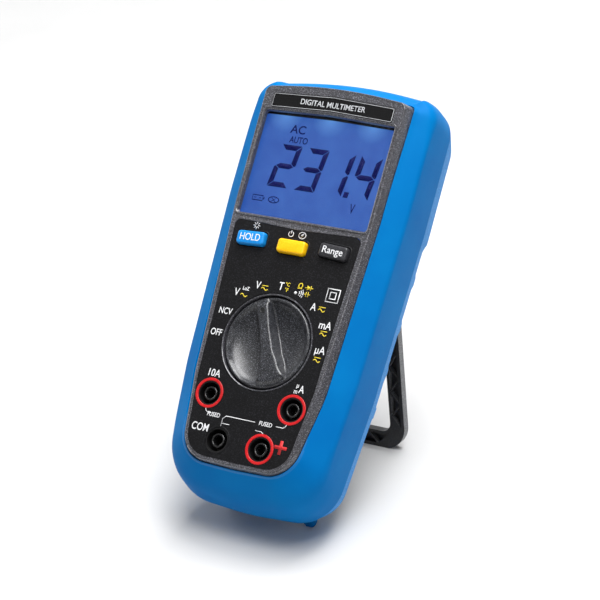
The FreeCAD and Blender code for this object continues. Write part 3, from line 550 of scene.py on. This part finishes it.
def knob():
    """The knob's cap, a shaped top over a plain skirt, and the small dot near its head."""
    turn = Matrix.Rotation(radians(KNOB_TURN), 2)

    def build(work):
        grid = []
        for j in range(KNOB_ROWS + 1):
            along = KNOB_RADIUS * sin(pi * (j / KNOB_ROWS - 0.5) * KNOB_END)
            row = []
            for across in knob_columns(along):
                spot = turn @ Vector((across, along))
                row.append(work.verts.new((spot.x, spot.y + KNOB_CENTRE, knob_level(across, along))))
            grid.append(row)
        for low, high in zip(grid, grid[1:]):
            join_rows(work, low, high, closed=False)
        right, left = [row[-1] for row in grid[1:-1]], [row[0] for row in grid[-2:0:-1]]
        above = border = grid[0] + right + grid[-1][::-1] + left
        for level in SKIRT_LEVELS:
            below = [work.verts.new((v.co.x, v.co.y, level)) for v in border]
            join_rows(work, above, below)
            above = below
    cap = finished("knob_cap", mesh_of("knob_cap", build), SHARED["knob"], 38.0, "selector")
    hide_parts("selector_knob")
    spot = turn @ Vector((0, KNOB_DOT_ALONG))
    dot = turned("knob_dot", KNOB_DOT, (spot.x, spot.y + KNOB_CENTRE), SHARED["dark"], 32, "selector")


# ---- the keys ----

KEY_HALF, KEY_HALF_TALL, KEY_ROUND, KEY_TOP = 6.15, 2.8, 1.3, 2.6
KEY_ROOT_LEVEL, KEY_WAIST_LEVEL, KEY_SHOULDER = -1.5, 0.6, KEY_TOP - 0.85
KEY_DRAFT, KEY_EDGE_INSET, KEY_EDGE_WIDTH, KEY_EDGE_RISE = 0.12, 0.15, 0.8, 0.7
KEY_CROWN = ((0.75, 0.07), (0.45, 0.12), (0.15, 0.145))
KEY_SURROUND = ((0.9, 0.0), (0.8, 0.16), (0.6, 0.22), (0.4, 0.2), (0.3, 0.05), (0.28, -1.2))
KEY_CAPS = (("hold_button", "hold_key", ((14, 128, 205), (36, 146, 218))),
            ("select_button", "select_key", ((248, 188, 6), (255, 204, 30))),
            ("range_button", "range_key", ((40, 40, 43), (66, 66, 70))))


def key_matrix(name):
    """Carries a key drawn about the origin to its place on the face."""
    x, y, tilt = KEYS[name]
    return Matrix.Translation((x, y, 0)) @ Matrix.Rotation(radians(tilt), 4, "Z")


def key_outline():
    return rounded([(0, -KEY_HALF_TALL), (KEY_HALF, -KEY_HALF_TALL, KEY_ROUND),
                    (KEY_HALF, KEY_HALF_TALL, KEY_ROUND), (0, KEY_HALF_TALL)], 8, 10)


def key_cap(name, body, material):
    """A key with drafted sides, a rounded edge and a slightly crowned top."""
    base = key_outline()

    def build(work):
        rings = [level_ring(base, KEY_ROOT_LEVEL), level_ring(base, KEY_WAIST_LEVEL),
                 level_ring(grown(base, -KEY_DRAFT), KEY_SHOULDER)]
        for step in range(1, 7):
            angle = pi / 2 * step / 6
            edge = grown(base, -KEY_EDGE_INSET - KEY_EDGE_WIDTH * (1 - cos(angle)))
            rings.append(level_ring(edge, KEY_SHOULDER + KEY_EDGE_RISE * sin(angle)))
        flat = rings[-1]
        for shrink, rise in KEY_CROWN:
            rings.append([Vector((point.x * shrink, point.y * shrink, point.z + rise)) for point in flat])
        rows = skin_rings(work, rings)
        work.faces.new(rows[-1])
        bmesh.ops.transform(work, matrix=key_matrix(name), verts=work.verts)
    cap = finished(name + "_cap", mesh_of(name + "_cap", build), material, 60.0, body)
    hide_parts(name)


def key_surround(name):
    """The thin raised edge round each key's hole in the panel."""
    base = key_outline()

    def build(work):
        skin_rings(work, [level_ring(grown(base, out), level) for out, level in KEY_SURROUND])
        bmesh.ops.transform(work, matrix=key_matrix(name), verts=work.verts)
    ring = finished(name + "_surround", mesh_of(name + "_surround", build), SHARED["panel"], 50.0)


# ---- jacks ----

JACK_SLEEVE = [(2.85, -8.0), (2.85, -1.25), (2.75, -1.0), (2.6, -0.9), (2.3, -0.9), (2.1, -1.0), (1.95, -1.3),
               (1.93, -10.0)]
JACK_RIM = [(5.6, 0.0), (5.5, 0.1), (5.2, 0.15), (4.95, 0.1), (4.85, -0.1), (4.85, -0.6)]


def jacks():
    """A moulded sleeve in every jack, and a raised rim round the one that has no red collar."""
    for name, centre in JACKS.items():
        sleeve = turned(f"jack_sleeve_{name}", JACK_SLEEVE, centre, SHARED["sleeve"], 48)
        if name == "com":
            rim = turned("jack_rim_com", JACK_RIM, centre, SHARED["panel"], 64)


# ---- the display ----

DISPLAY_LEVEL, DISPLAY_FACE_GAP, MASK_LEVEL, MASK_FOOT_LEVEL = -4.32, 0.03, -4.0, -4.3
DISPLAY_X, DISPLAY_Y = -1.7, 0.5  # how far what is seen through the window is moved
DISPLAY_FACE = [(0, 87.0), (30.2, 87.0, 0.5), (30.2, 135.0, 0.5), (0, 135.0)]
MASK_OUTER = [(0, 89.6), (30.6, 89.6, 1.0), (30.6, 135.4, 1.0), (0, 135.4)]
MASK_INNER = [(0, 90.3), (29.9, 90.3, 1.0), (29.9, 132.9, 1.0), (0, 133.6)]
GLOWS, GLOW_ROW = (-19.5, 0.5, 19.5), 134.0
GLOW_NEAR_M, GLOW_FAR_M = 0.0008, 0.0065
DIGITS = (("2", -19.6), ("3", -7.4), ("1", 4.5), ("4", 16.2))
DECIMAL_POINT = [(14.6, 103.0), (16.7, 103.0), (16.95, 105.3), (14.85, 105.3)]
SEGMENTS = {"2": "abged", "3": "abgcd", "1": "bc", "4": "fgbc"}
DIGIT_LOW, DIGIT_TALL, DIGIT_WIDE, STROKE, SLANT = 103.0, 17.8, 9.2, 2.15, 0.115
SEGMENT_GAP = 0.2
ICON_LINE = 0.4
BATTERY_BOX, BATTERY_TIP = (-24.4, -19.6, 96.4, 98.8), (-19.4, -18.95, 97.1, 98.1)
BATTERY_SIGNS = ((-23.6, -22.6, 97.45, 97.7), (-21.4, -20.4, 97.45, 97.7))
OVAL_MIDDLE, OVAL_REACH, OVAL_STEPS = (-14.75, 97.65), (2.5, 1.45), 32
OVAL_CROSS = [[(-16.0, 96.75), (-15.8, 96.6), (-13.5, 98.5), (-13.7, 98.65)],
              [(-16.0, 98.5), (-13.7, 96.6), (-13.5, 96.75), (-15.8, 98.65)]]


PRINT_LEVEL, PRINT_THICKNESS = 0.02, 0.04


def segment(name, width, height, stroke):
    """One bar of a seven-segment digit, mitred to its neighbours, before slanting."""
    gap, middle, half = SEGMENT_GAP, height / 2, stroke / 2
    if name == "g":
        near, far = gap + stroke, width - gap - stroke
        return [(gap + half * 0.5, middle), (near, middle - half), (far, middle - half),
                (width - gap - half * 0.5, middle), (far, middle + half), (near, middle + half)]
    if name in "ad":
        corners = [(gap, 0), (width - gap, 0), (width - gap - stroke, stroke), (gap + stroke, stroke)]
        return [(x, height - y) for x, y in corners] if name == "a" else corners
    corners = [(0, gap), (0, middle - gap - half * 0.3), (half * 0.6, middle - gap),
               (stroke, middle - gap - half), (stroke, gap + stroke)]
    if name in "bc":
        corners = [(width - x, y) for x, y in corners]
    return [(x, height - y) for x, y in corners] if name in "fb" else corners


def flat_shape(name, polygons, level, material):
    """Flat printed shapes with a little thickness, from closed lists of points."""
    def build(work):
        for polygon in polygons:
            top = [work.verts.new((x, y, level + PRINT_THICKNESS)) for x, y in polygon]
            foot = [work.verts.new((x, y, level)) for x, y in polygon]
            work.faces.new(top)
            join_rows(work, foot, top)
    return finished(name, mesh_of(name, build), material, 0)


def on_display(polygons):
    return [[(x + DISPLAY_X, y + DISPLAY_Y) for x, y in polygon] for polygon in polygons]


def display_digits():
    """The four digits, cut into bars that lean, and the decimal point."""
    polygons = []
    for character, left in DIGITS:
        for letter in SEGMENTS[character]:
            corners = segment(letter, DIGIT_WIDE, DIGIT_TALL, STROKE)
            polygons.append([(left + x + SLANT * y, DIGIT_LOW + y) for x, y in corners])
    polygons.append(DECIMAL_POINT)
    digits = flat_shape("display_digits", on_display(polygons), DISPLAY_LEVEL, SHARED["lcd_ink"])


def box_corners(left, right, low, high):
    return [(left, low), (right, low), (right, high), (left, high)]


def band_quads(outer, inner):
    """The band between two closed outlines, cut into quads."""
    following = zip(outer[1:] + outer[:1], inner[1:] + inner[:1])
    return [[a, b, d, c] for a, c, (b, d) in zip(outer, inner, following)]


def display_icons():
    """The battery sign, and the crossed oval beside it."""
    turns = [2 * pi * i / OVAL_STEPS for i in range(OVAL_STEPS)]
    (x, y), (across, up) = OVAL_MIDDLE, OVAL_REACH
    oval = [Vector((x + across * cos(turn), y + up * sin(turn))) for turn in turns]
    battery = [Vector(corner) for corner in box_corners(*BATTERY_BOX)]
    shapes = band_quads(battery, grown(battery, -ICON_LINE)) + band_quads(oval, grown(oval, -ICON_LINE))
    shapes += [box_corners(*box) for box in (BATTERY_TIP, *BATTERY_SIGNS)] + OVAL_CROSS
    icons = flat_shape("display_icons", on_display(shapes), DISPLAY_LEVEL, SHARED["lcd_ink"])


def display_light():
    """An even blue light, paler where the three lamps shine in at the display's top edge."""
    nodes = Nodes("display_light", roughness=0.35)
    light = None
    for x in GLOWS:
        place = MILLIMETRES @ Vector((x + DISPLAY_X, GLOW_ROW, DISPLAY_LEVEL))
        gap = nodes.add("ShaderNodeVectorMath", ((1, place),), operation="DISTANCE")
        nodes.link(nodes.place, gap.inputs[0])
        glow = nodes.ramp(gap.outputs["Value"], GLOW_NEAR_M, GLOW_FAR_M, (0.8, 0.8, 0.8, 1), (0, 0, 0, 1))
        light = glow if light is None else nodes.mix(1.0, light, glow, "LIGHTEN")
    mottle = nodes.ramp(nodes.noise(9.0, 2.0), 0.3, 0.7, linear(40, 82, 166), linear(50, 96, 178))
    lit = nodes.mix(light, mottle, linear(104, 164, 235))
    nodes.link(lit, nodes.shader.inputs["Emission Color"])
    nodes.fix(nodes.shader, ("Emission Strength", 0.92))
    nodes.colour(nodes.ramp(nodes.noise(0.4), 0.4, 0.6, linear(20, 35, 70), linear(26, 42, 80)))
    nodes.bump(nodes.noise(0.4), 0.004)
    return nodes.material


def display_face():
    """The lit face of the display, and the dark mask round it."""
    def build(work):
        fill(work, [rounded(DISPLAY_FACE, 4, 12)], DISPLAY_LEVEL - DISPLAY_FACE_GAP)
    face = finished("display_face", mesh_of("display_face", build), display_light(), 0)

    def mask(work):
        inner = rounded(MASK_INNER)
        skin_rings(work, [level_ring(rounded(MASK_OUTER), MASK_LEVEL), level_ring(inner, MASK_LEVEL),
                          level_ring(inner, MASK_FOOT_LEVEL)])
    frame_mask = finished("display_mask", mesh_of("display_mask", mask), SHARED["dark"], 0)


# ---- printing ----

CAPITAL_SHARE, LETTER_DEPTH, LETTER_STEPS = 0.72, 0.02, 5


def lettering(name, text, x, y, size, material, bold, squeeze, level=PRINT_LEVEL, body="meter", tilt=0.0,
              lean=0.0):
    """Printed letters, about size tall, centred at x, y."""
    curve = bpy.data.curves.new(name, "FONT")
    curve.body = text
    curve.size = size / CAPITAL_SHARE
    curve.align_x = "CENTER"
    curve.align_y = "CENTER"
    curve.offset = bold
    curve.shear = lean
    curve.extrude = LETTER_DEPTH
    curve.resolution_u = LETTER_STEPS
    holder = placed(name, curve)
    bpy.context.view_layer.update()
    data = bpy.data.meshes.new_from_object(holder.evaluated_get(bpy.context.evaluated_depsgraph_get()))
    bpy.data.objects.remove(holder)
    place = Matrix.Translation((x, y, level)) @ Matrix.Rotation(radians(tilt), 4, "Z")
    data.transform(place @ Matrix.Diagonal((squeeze, 1, 1, 1)))
    letters = finished(name, data, material, 0, body)


def printed_line(name, points, width, material):
    """A printed line of even width through the given points, with mitred corners."""
    path = [Vector(point) for point in points]
    left, right = [], []
    for i, point in enumerate(path):
        before = (point - path[i - 1]).normalized() if i else (path[1] - point).normalized()
        after = (path[i + 1] - point).normalized() if i + 1 < len(path) else before
        across = (before + after).normalized()
        normal = Vector((-across.y, across.x)) * width / 2 / max(across.dot(before), 0.3)
        left.append(point + normal)
        right.append(point - normal)
    quads = [[left[i], right[i], right[i + 1], left[i + 1]] for i in range(len(path) - 1)]
    line = flat_shape(name, quads, PRINT_LEVEL, material)


def arc_points(x, y, radius, start, end, steps, flatten=1.0):
    """Points along an arc between two angles in degrees, both ends included."""
    angles = [radians(start + (end - start) * i / steps) for i in range(steps + 1)]
    return [(x + radius * cos(angle), y + radius * flatten * sin(angle)) for angle in angles]


def wave(x, y, half, rise):
    """One period of a sine wave, for the sign of alternating current."""
    return [(x + half * (i / 8 - 1), y + rise * sin(pi * i / 8)) for i in range(17)]


def lamp_ray(ray):
    """The two ends of one ray of the lamp's sign."""
    angle = 2 * pi * ray / LAMP_RAYS
    return [(LAMP[0] + reach * cos(angle), LAMP[1] + reach * sin(angle)) for reach in (RAY_NEAR, RAY_FAR)]


def plus_corners(x, y, reach, half):
    """The outline of a plus sign: one arm's corners, turned by quarters."""
    arm = [(reach, -half), (reach, half), (half, half)]
    quarters = arm + [(-b, a) for a, b in arm] + [(-a, -b) for a, b in arm] + [(b, -a) for a, b in arm]
    return [(x + a, y + b) for a, b in quarters]


LEGENDS = {  # text, x, y, height, squeeze
    "white": [
        ("V", -18.8, 58.3, 3.1, 0.8), ("LoZ", -15.2, 60.3, 1.5, 0.85), ("V", -10.4, 62.4, 3.1, 0.8),
        ("T", -0.4, 63.6, 3.3, 0.8), ("A", 15.6, 57.9, 3.1, 0.8), ("mA", 22.6, 51.6, 3.2, 0.85),
        ("µA", 23.2, 41.8, 3.2, 0.85), ("NCV", -21.4, 50.1, 2.6, 0.78), ("OFF", -22.8, 41.2, 2.7, 0.78),
        ("10A", -18.8, 25.2, 3.0, 0.85), ("µ", 18.2, 27.0, 1.9, 0.85), ("m", 17.9, 24.6, 1.9, 0.8),
        ("A", 20.2, 25.6, 3.0, 0.8), ("COM", -18.2, 3.6, 3.1, 0.78), ("FUSED", -13.9, 9.3, 1.7, 0.85),
        ("FUSED", 9.2, 9.8, 1.7, 0.85)],
    "yellow": [("°C", 2.2, 64.8, 1.5, 0.9), ("°F", 2.2, 62.6, 1.5, 0.9), ("Ω", 7.8, 65.0, 2.3, 0.9)]}
LEGEND_BOLD, LEGEND_LEAN = 0.03, 0.04
DIRECT_OR_ALTERNATING = [(-7.3, 62.0), (19.3, 57.7), (22.7, 48.6), (23.0, 38.2)]
LAMP, LAMP_RAYS, RAY_NEAR, RAY_FAR = (-18.2, 85.9), 8, 0.55, 1.5
MARKS = [  # name, ink, width of the line (0 for a filled shape), points
    ("alternating_low", "yellow", 0.36, wave(-15.5, 57.6, 1.5, 0.55)),
    ("blue_mode", "white", 0.24, arc_points(2.6, 84.9, 1.55, 0, 360, 36, 0.85)),
    ("blue_mode_bolt", "white", 0.22, [(3.2, 85.8), (2.2, 84.9), (3.0, 84.9), (2.0, 84.0)]),
    ("power", "white", 0.28, arc_points(-2.4, 84.8, 1.05, 125, 415, 30)),
    ("power_bar", "white", 0.28, [(-2.4, 84.9), (-2.4, 86.2)]),
    *((f"lamp_{ray}", "white", 0.24, lamp_ray(ray)) for ray in range(LAMP_RAYS)),
    ("outer_square", "white", 0.34, [(19.8, 61.0), (25.1, 61.0), (25.1, 66.2), (19.8, 66.2), (19.8, 60.8)]),
    ("inner_square", "white", 0.34, [(21.2, 62.3), (23.7, 62.3), (23.7, 64.9), (21.2, 64.9), (21.2, 62.1)]),
    ("diode_wire", "yellow", 0.28, [(9.9, 64.9), (13.4, 64.9)]),
    ("diode_bar", "yellow", 0.34, [(12.4, 64.0), (12.4, 65.8)]),
    ("diode", "yellow", 0, [(10.8, 63.9), (12.4, 64.9), (10.8, 65.9)]),
    ("buzzer_dot", "white", 0, arc_points(6.4, 62.2, 0.6, 0, 345, 23)),
    ("buzzer_wave_0", "white", 0.28, arc_points(6.6, 62.2, 1.5, -32, 32, 10)),
    ("buzzer_wave_1", "white", 0.28, arc_points(6.6, 62.2, 2.3, -32, 32, 10)),
    ("buzzer_wave_2", "white", 0.28, arc_points(6.6, 62.2, 3.1, -32, 32, 10)),
    ("capacitor_0", "yellow", 0.26, [(11.0, 61.3), (11.0, 63.3)]),
    ("capacitor_1", "yellow", 0.26, [(11.9, 61.3), (11.9, 63.3)]),
    ("capacitor_wire_0", "yellow", 0.24, [(10.2, 62.3), (11.0, 62.3)]),
    ("capacitor_wire_1", "yellow", 0.24, [(11.9, 62.3), (12.7, 62.3)]),
    ("plus", "red", 0, plus_corners(18.1, 2.3, 2.7, 0.65)),
    ("line_left", "white", 0.26, [(-18.1, 11.4), (-17.6, 10.3), (-16.8, 9.8), (-15.0, 9.8)]),
    ("line_middle", "white", 0.26, [(-9.5, 5.3), (-9.5, 8.6), (-8.2, 9.8), (4.6, 9.8)]),
    ("line_branch", "white", 0.26, [(-9.5, 6.7), (-6.0, 6.7)]),
    ("line_volt", "white", 0.26, [(5.6, 6.7), (8.2, 6.7), (9.3, 6.0)]),
    ("line_right", "white", 0.26, [(13.8, 9.8), (16.8, 9.8), (17.6, 10.3), (18.1, 11.4)])]
TITLE_LINE_OUTER, TITLE_LINE_INNER, TITLE_LINE_LEVEL = 0.25, 0.42, 0.01


def print_legends():
    """The words and letters round the dial and the jacks."""
    for ink, legends in LEGENDS.items():
        for number, (text, x, y, height, squeeze) in enumerate(legends):
            lettering(f"mark_{ink}_{number}", text, x, y, height, SHARED[ink], LEGEND_BOLD, squeeze,
                      lean=LEGEND_LEAN)


def print_marks():
    """The signs of the dial, the keys and the jacks."""
    for number, (x, y) in enumerate(DIRECT_OR_ALTERNATING):
        bar = [(x - 1.35, y + 0.75), (x + 1.5, y + 0.75)]
        printed_line(f"mark_direct_{number}", bar, 0.3, SHARED["yellow"])
        printed_line(f"mark_alternating_{number}", wave(x, y - 0.5, 1.45, 0.5), 0.36, SHARED["yellow"])
    for name, ink, width, points in MARKS:
        if width:
            printed_line("mark_" + name, points, width, SHARED[ink])
        else:
            shape = flat_shape("mark_" + name, [points], PRINT_LEVEL, SHARED[ink])


def print_title():
    """The strip above the display: two plain words inside a thin line."""
    lettering("title_words", "DIGITAL MULTIMETER", 0.0, 138.4, 2.3, SHARED["silver"], 0.03, 0.92)
    edge = rounded(TITLE)
    quads = band_quads(grown(edge, -TITLE_LINE_OUTER), grown(edge, -TITLE_LINE_INNER))
    outline = flat_shape("title_outline", quads, TITLE_LINE_LEVEL, SHARED["silver"])


KEY_WORDS = (("hold_button", "hold_key", "HOLD", 0.82), ("range_button", "range_key", "Range", 0.95))
DISPLAY_WORDS = (("ac", "AC", -12.4, 127.3, 3.5, 1.02), ("auto", "AUTO", -11.0, 123.0, 2.7, 0.78),
                 ("volts", "V", 20.0, 98.8, 4.0, 0.62))


def print_keys():
    """The words on the two keys that have one."""
    for name, body, text, squeeze in KEY_WORDS:
        x, y, tilt = KEYS[name]
        lettering(name + "_word", text, x, y, 2.9, SHARED["white"], 0.01, squeeze, KEY_TOP - PRINT_LEVEL,
                  body, tilt)


def print_display():
    """The words of the display."""
    for name, text, x, y, height, squeeze in DISPLAY_WORDS:
        lettering("display_" + name, text, x + DISPLAY_X, y + DISPLAY_Y, height,
                  SHARED["lcd_ink"], 0.07, squeeze, DISPLAY_LEVEL)


# ---- finishes: those that several pieces share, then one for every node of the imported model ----

def display_ink():
    """Dark segments of the lit display, which let a little of the light through."""
    nodes = Nodes("display_ink", roughness=0.6, specular=0.1)
    nodes.colour(nodes.ramp(nodes.noise(0.5), 0.3, 0.7, linear(4, 8, 50), linear(8, 12, 60)))
    nodes.link(nodes.ramp(nodes.noise(3.0), 0.3, 0.7, linear(2, 6, 66), linear(6, 12, 78)),
               nodes.shader.inputs["Emission Color"])
    nodes.fix(nodes.shader, ("Emission Strength", 0.8))
    return nodes.material


def make_shared():
    return {
        "rubber": rubber_blue(),
        "bezel": moulded("bezel_grey", (54, 54, 58), (126, 126, 134), 0.36, (0.24, 0.36), 0.03, 0.42,
                         coat=0.7),
        "panel": moulded("panel_black", (10, 10, 12), (38, 38, 42), 0.4, (0.42, 0.58), 0.02, specular=0.2),
        "knob": moulded("knob_grey", (20, 21, 24), (118, 120, 128), 0.3, (0.26, 0.38), 0.02, 0.32, 0.6, 0.05),
        "dark": moulded("dark_plastic", (14, 14, 15), (28, 28, 30), 0.4, (0.4, 0.6), 0.01),
        "sleeve": moulded("sleeve_black", (16, 16, 17), (30, 30, 32), 0.3, (0.2, 0.35), 0.006, 0.2, coat=1.0),
        "white": printed("ink_white", linear(232, 233, 235)),
        "yellow": printed("ink_yellow", linear(232, 206, 40)),
        "red": printed("ink_red", linear(205, 26, 30)),
        "silver": printed("ink_silver", linear(188, 190, 194)),
        "lcd_ink": display_ink(),
    }


def clear_lens():
    """Clear window plastic that bends light only a little, so the display shows where it is."""
    nodes = Nodes("display_lens_clear", roughness=0.03)
    nodes.fix(nodes.shader, ("Transmission Weight", 1.0), ("IOR", 1.18))
    nodes.colour(nodes.ramp(nodes.noise(8.0), 0.3, 0.7, (0.97, 0.98, 0.99, 1), (1, 1, 1, 1)))
    nodes.roughness(nodes.noise(2.0), 0.0, 0.03)
    nodes.bump(nodes.noise(6.0), 0.001)
    return nodes.material


def stand_plastic_with_painted_sheen():
    """Satin black with a grain, and a painted sheen: the flanks, which face sideways, are coloured paler, as
    if catching the light.
    """
    nodes = Nodes("stand_black_painted_sheen")
    geometry = nodes.add("ShaderNodeNewGeometry")
    parts = nodes.add("ShaderNodeSeparateXYZ")
    nodes.link(geometry.outputs["Normal"], parts.inputs[0])
    side = nodes.add("ShaderNodeMath", operation="ABSOLUTE")
    nodes.link(parts.outputs["X"], side.inputs[0])
    # painted sheen: faces turned sideways get the paler grain, in place of the light they catch
    flank_sheen_mask = nodes.ramp(side.outputs[0], 0.6, 0.9, (0, 0, 0, 1), (1, 1, 1, 1))
    grain = nodes.noise(0.5, 3.0)
    dark = nodes.ramp(grain, 0.4, 0.7, linear(24, 24, 26), linear(44, 44, 47))
    pale = nodes.ramp(grain, 0.35, 0.65, linear(62, 63, 66), linear(120, 121, 124))
    nodes.colour(nodes.mix(flank_sheen_mask, dark, pale))
    nodes.roughness(nodes.noise(1.2), 0.3, 0.5)
    nodes.bump(grain, 0.04)
    return nodes.material


def dress_nodes():
    """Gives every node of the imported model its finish."""
    red = moulded("ring_red", (196, 20, 26), (214, 44, 44), 0.4, (0.3, 0.45), 0.01)
    brass = metal("brass", (0.72, 0.52, 0.24, 1))
    steel = metal("steel", (0.62, 0.62, 0.64, 1))
    nickel = metal("nickel", (0.7, 0.69, 0.66, 1), 0.2)
    board = moulded("board_green", (24, 92, 52), (46, 122, 74), 0.5, (0.35, 0.5), 0.02)
    case = moulded("case_grey", (46, 47, 50), (74, 75, 79), 0.4, (0.5, 0.65), 0.05, 0.35)
    rubber = moulded("contact_rubber", (150, 150, 146), (170, 170, 166), 0.6, (0.6, 0.75), 0.02)
    ceramic = moulded("ceramic_white", (214, 210, 200), (232, 230, 224), 0.5, (0.35, 0.5), 0.01)
    title = moulded("title_black", (12, 12, 13), (24, 24, 26), 0.4, (0.15, 0.25), 0.004)
    chip = moulded("chip_black", (22, 22, 23), (40, 40, 42), 0.2, (0.5, 0.6), 0.01, 0.2)
    cell = moulded("cell_jacket", (34, 36, 42), (70, 74, 84), 0.8, (0.25, 0.35), 0.004)
    milky = moulded("guide_milky", (196, 210, 232), (214, 226, 244), 2.0, (0.3, 0.4), 0.004)
    groups = (
        (case, "rear_case battery_door"), (SHARED["bezel"], "front_case"), (SHARED["rubber"], "holster"),
        (SHARED["panel"], "panel_overlay"), (clear_lens(), "display_lens"), (title, "title_plate"),
        (red, "jack_rings"), (stand_plastic_with_painted_sheen(), "tilt_stand"), (SHARED["knob"], "selector_knob"),
        (board, "main_board"), (milky, "backlight_guide"), (rubber, "contact_strips key_mat"),
        (SHARED["dark"], "jack_shrouds lcd_glass lcd_frame switch_rotor"),
        (SHARED["dark"], "hold_button select_button range_button"),
        (brass, "contact_brushes key_contacts current_shunt"), (cell, "battery_left battery_right"),
        (ceramic, "backlight_leds fuse_high_current fuse_low_current input_resistors"),
        (steel, "board_screws case_screws battery_door_screw rotor_screw stand_pins"),
        (steel, "detent_balls detent_springs"),
        (chip, "buzzer processor_chip input_thermistor"),
        (nickel, "fuse_clips battery_contacts jack_socket_com jack_socket_volt jack_socket_high_current "
                 "jack_socket_low_current"))
    finishes = {node: finish for finish, nodes in groups for node in nodes.split()}
    for node, thing in frame["nodes"].items():
        thing.data.materials.clear()
        thing.data.materials.append(finishes[node])


# ---- studio ----

FLOOR_HALF, FLOOR_TURN, FLOOR_ROWS, SWEEP, WALL_TOP = 3.0, 28, (-3.0, -1.0, 0.6), 0.6, 3.0
SKY_HORIZON, SKY_STRENGTH = (0.14, 0.14, 0.15, 1), 0.42
LIT_SPOT = Vector((0, -0.01, 0.07))
LIGHTS = {  # place and width in metres, power in watts
    "key": ((0.3, -0.25, 1.25), 0.7, 13.0), "top": ((0.1, 0.35, 1.15), 0.7, 16.0),
    "left": ((-0.95, 0.0, 0.55), 0.4, 1.8), "edge": ((0.95, -0.26, 0.48), 0.2, 0.9)}


def studio_floor():
    """A pale floor that curves up into a wall behind."""
    def build(work):
        back = FLOOR_ROWS[-1]
        run = [Vector((0, y, 0)) for y in FLOOR_ROWS]
        run += [Vector((0, back + SWEEP * sin(a), SWEEP - SWEEP * cos(a)))
                for a in (pi / 2 * i / 10 for i in range(1, 11))]
        run += [Vector((0, back + SWEEP, WALL_TOP))]
        sides = (-FLOOR_HALF, FLOOR_HALF)
        skin_rings(work, [[point + Vector((x, 0, 0)) for point in run] for x in sides], closed=False)
    data = mesh_of("floor", build)
    floor = placed("floor", data)
    floor.rotation_euler.z = radians(FLOOR_TURN)
    nodes = Nodes("floor_pale", roughness=0.7)
    nodes.colour(nodes.ramp(nodes.noise(60.0), 0.3, 0.7, linear(204, 204, 204), linear(208, 208, 208)))
    data.materials.append(nodes.material)
    data.shade_smooth()


def studio_room():
    """Even light from all round, darker near the horizon than overhead."""
    world = bpy.data.worlds.new("room")
    world.use_nodes = True
    tree = world.node_tree
    direction = tree.nodes.new("ShaderNodeTexCoord")
    height = tree.nodes.new("ShaderNodeSeparateXYZ")
    tree.links.new(direction.outputs["Generated"], height.inputs[0])
    sky = ramp_in(tree, height.outputs["Z"], 0.1, 0.9, SKY_HORIZON, (1, 1, 1, 1))
    tree.links.new(sky, tree.nodes["Background"].inputs["Color"])
    tree.nodes["Background"].inputs["Strength"].default_value = SKY_STRENGTH
    scene.world = world


def studio_lights():
    """Four soft square lights, all turned to the meter."""
    for name, (place, size, power) in LIGHTS.items():
        light = bpy.data.lights.new(name, "AREA")
        light.shape = "SQUARE"
        light.size = size
        light.energy = power
        lamp = placed(name, light)
        lamp.location = place
        lamp.rotation_euler = (LIT_SPOT - Vector(place)).to_track_quat("-Z", "Y").to_euler()


# ---- camera: place and directions in the face frame ----
VIEW_PLACE = (403.48, -79.29, 734.61)
VIEW_RIGHT = (0.8698, 0.2640, -0.4169)
VIEW_DOWN = (0.1609, -0.9504, -0.2662)
VIEW_FORWARD = (-0.4665, 0.1645, -0.8691)
LENS, SENSOR = 131.76, 36.0


def camera():
    lens = bpy.data.cameras.new("camera")
    lens.lens = LENS
    lens.sensor_width = SENSOR
    lens.clip_start = 0.05
    viewer = placed("camera", lens)
    axes = Matrix((Vector(VIEW_RIGHT), -Vector(VIEW_DOWN), -Vector(VIEW_FORWARD))).transposed().to_4x4()
    axes.translation = Vector(VIEW_PLACE) / 1000
    viewer.matrix_world = FACE @ axes
    scene.camera = viewer


camera()
SHARED = make_shared()
dress_nodes()
holster_skin()
holster_feet()
bezel_shell()
knob()
for key, key_body, finish in KEY_CAPS:
    key_cap(key, key_body, moulded(key + "_plastic", *finish, 0.35, (0.3, 0.42), 0.012))
    key_surround(key)
jacks()
display_face()
display_digits()
display_icons()
print_display()
print_legends()
print_marks()
print_title()
print_keys()
studio_floor()
studio_room()
studio_lights()
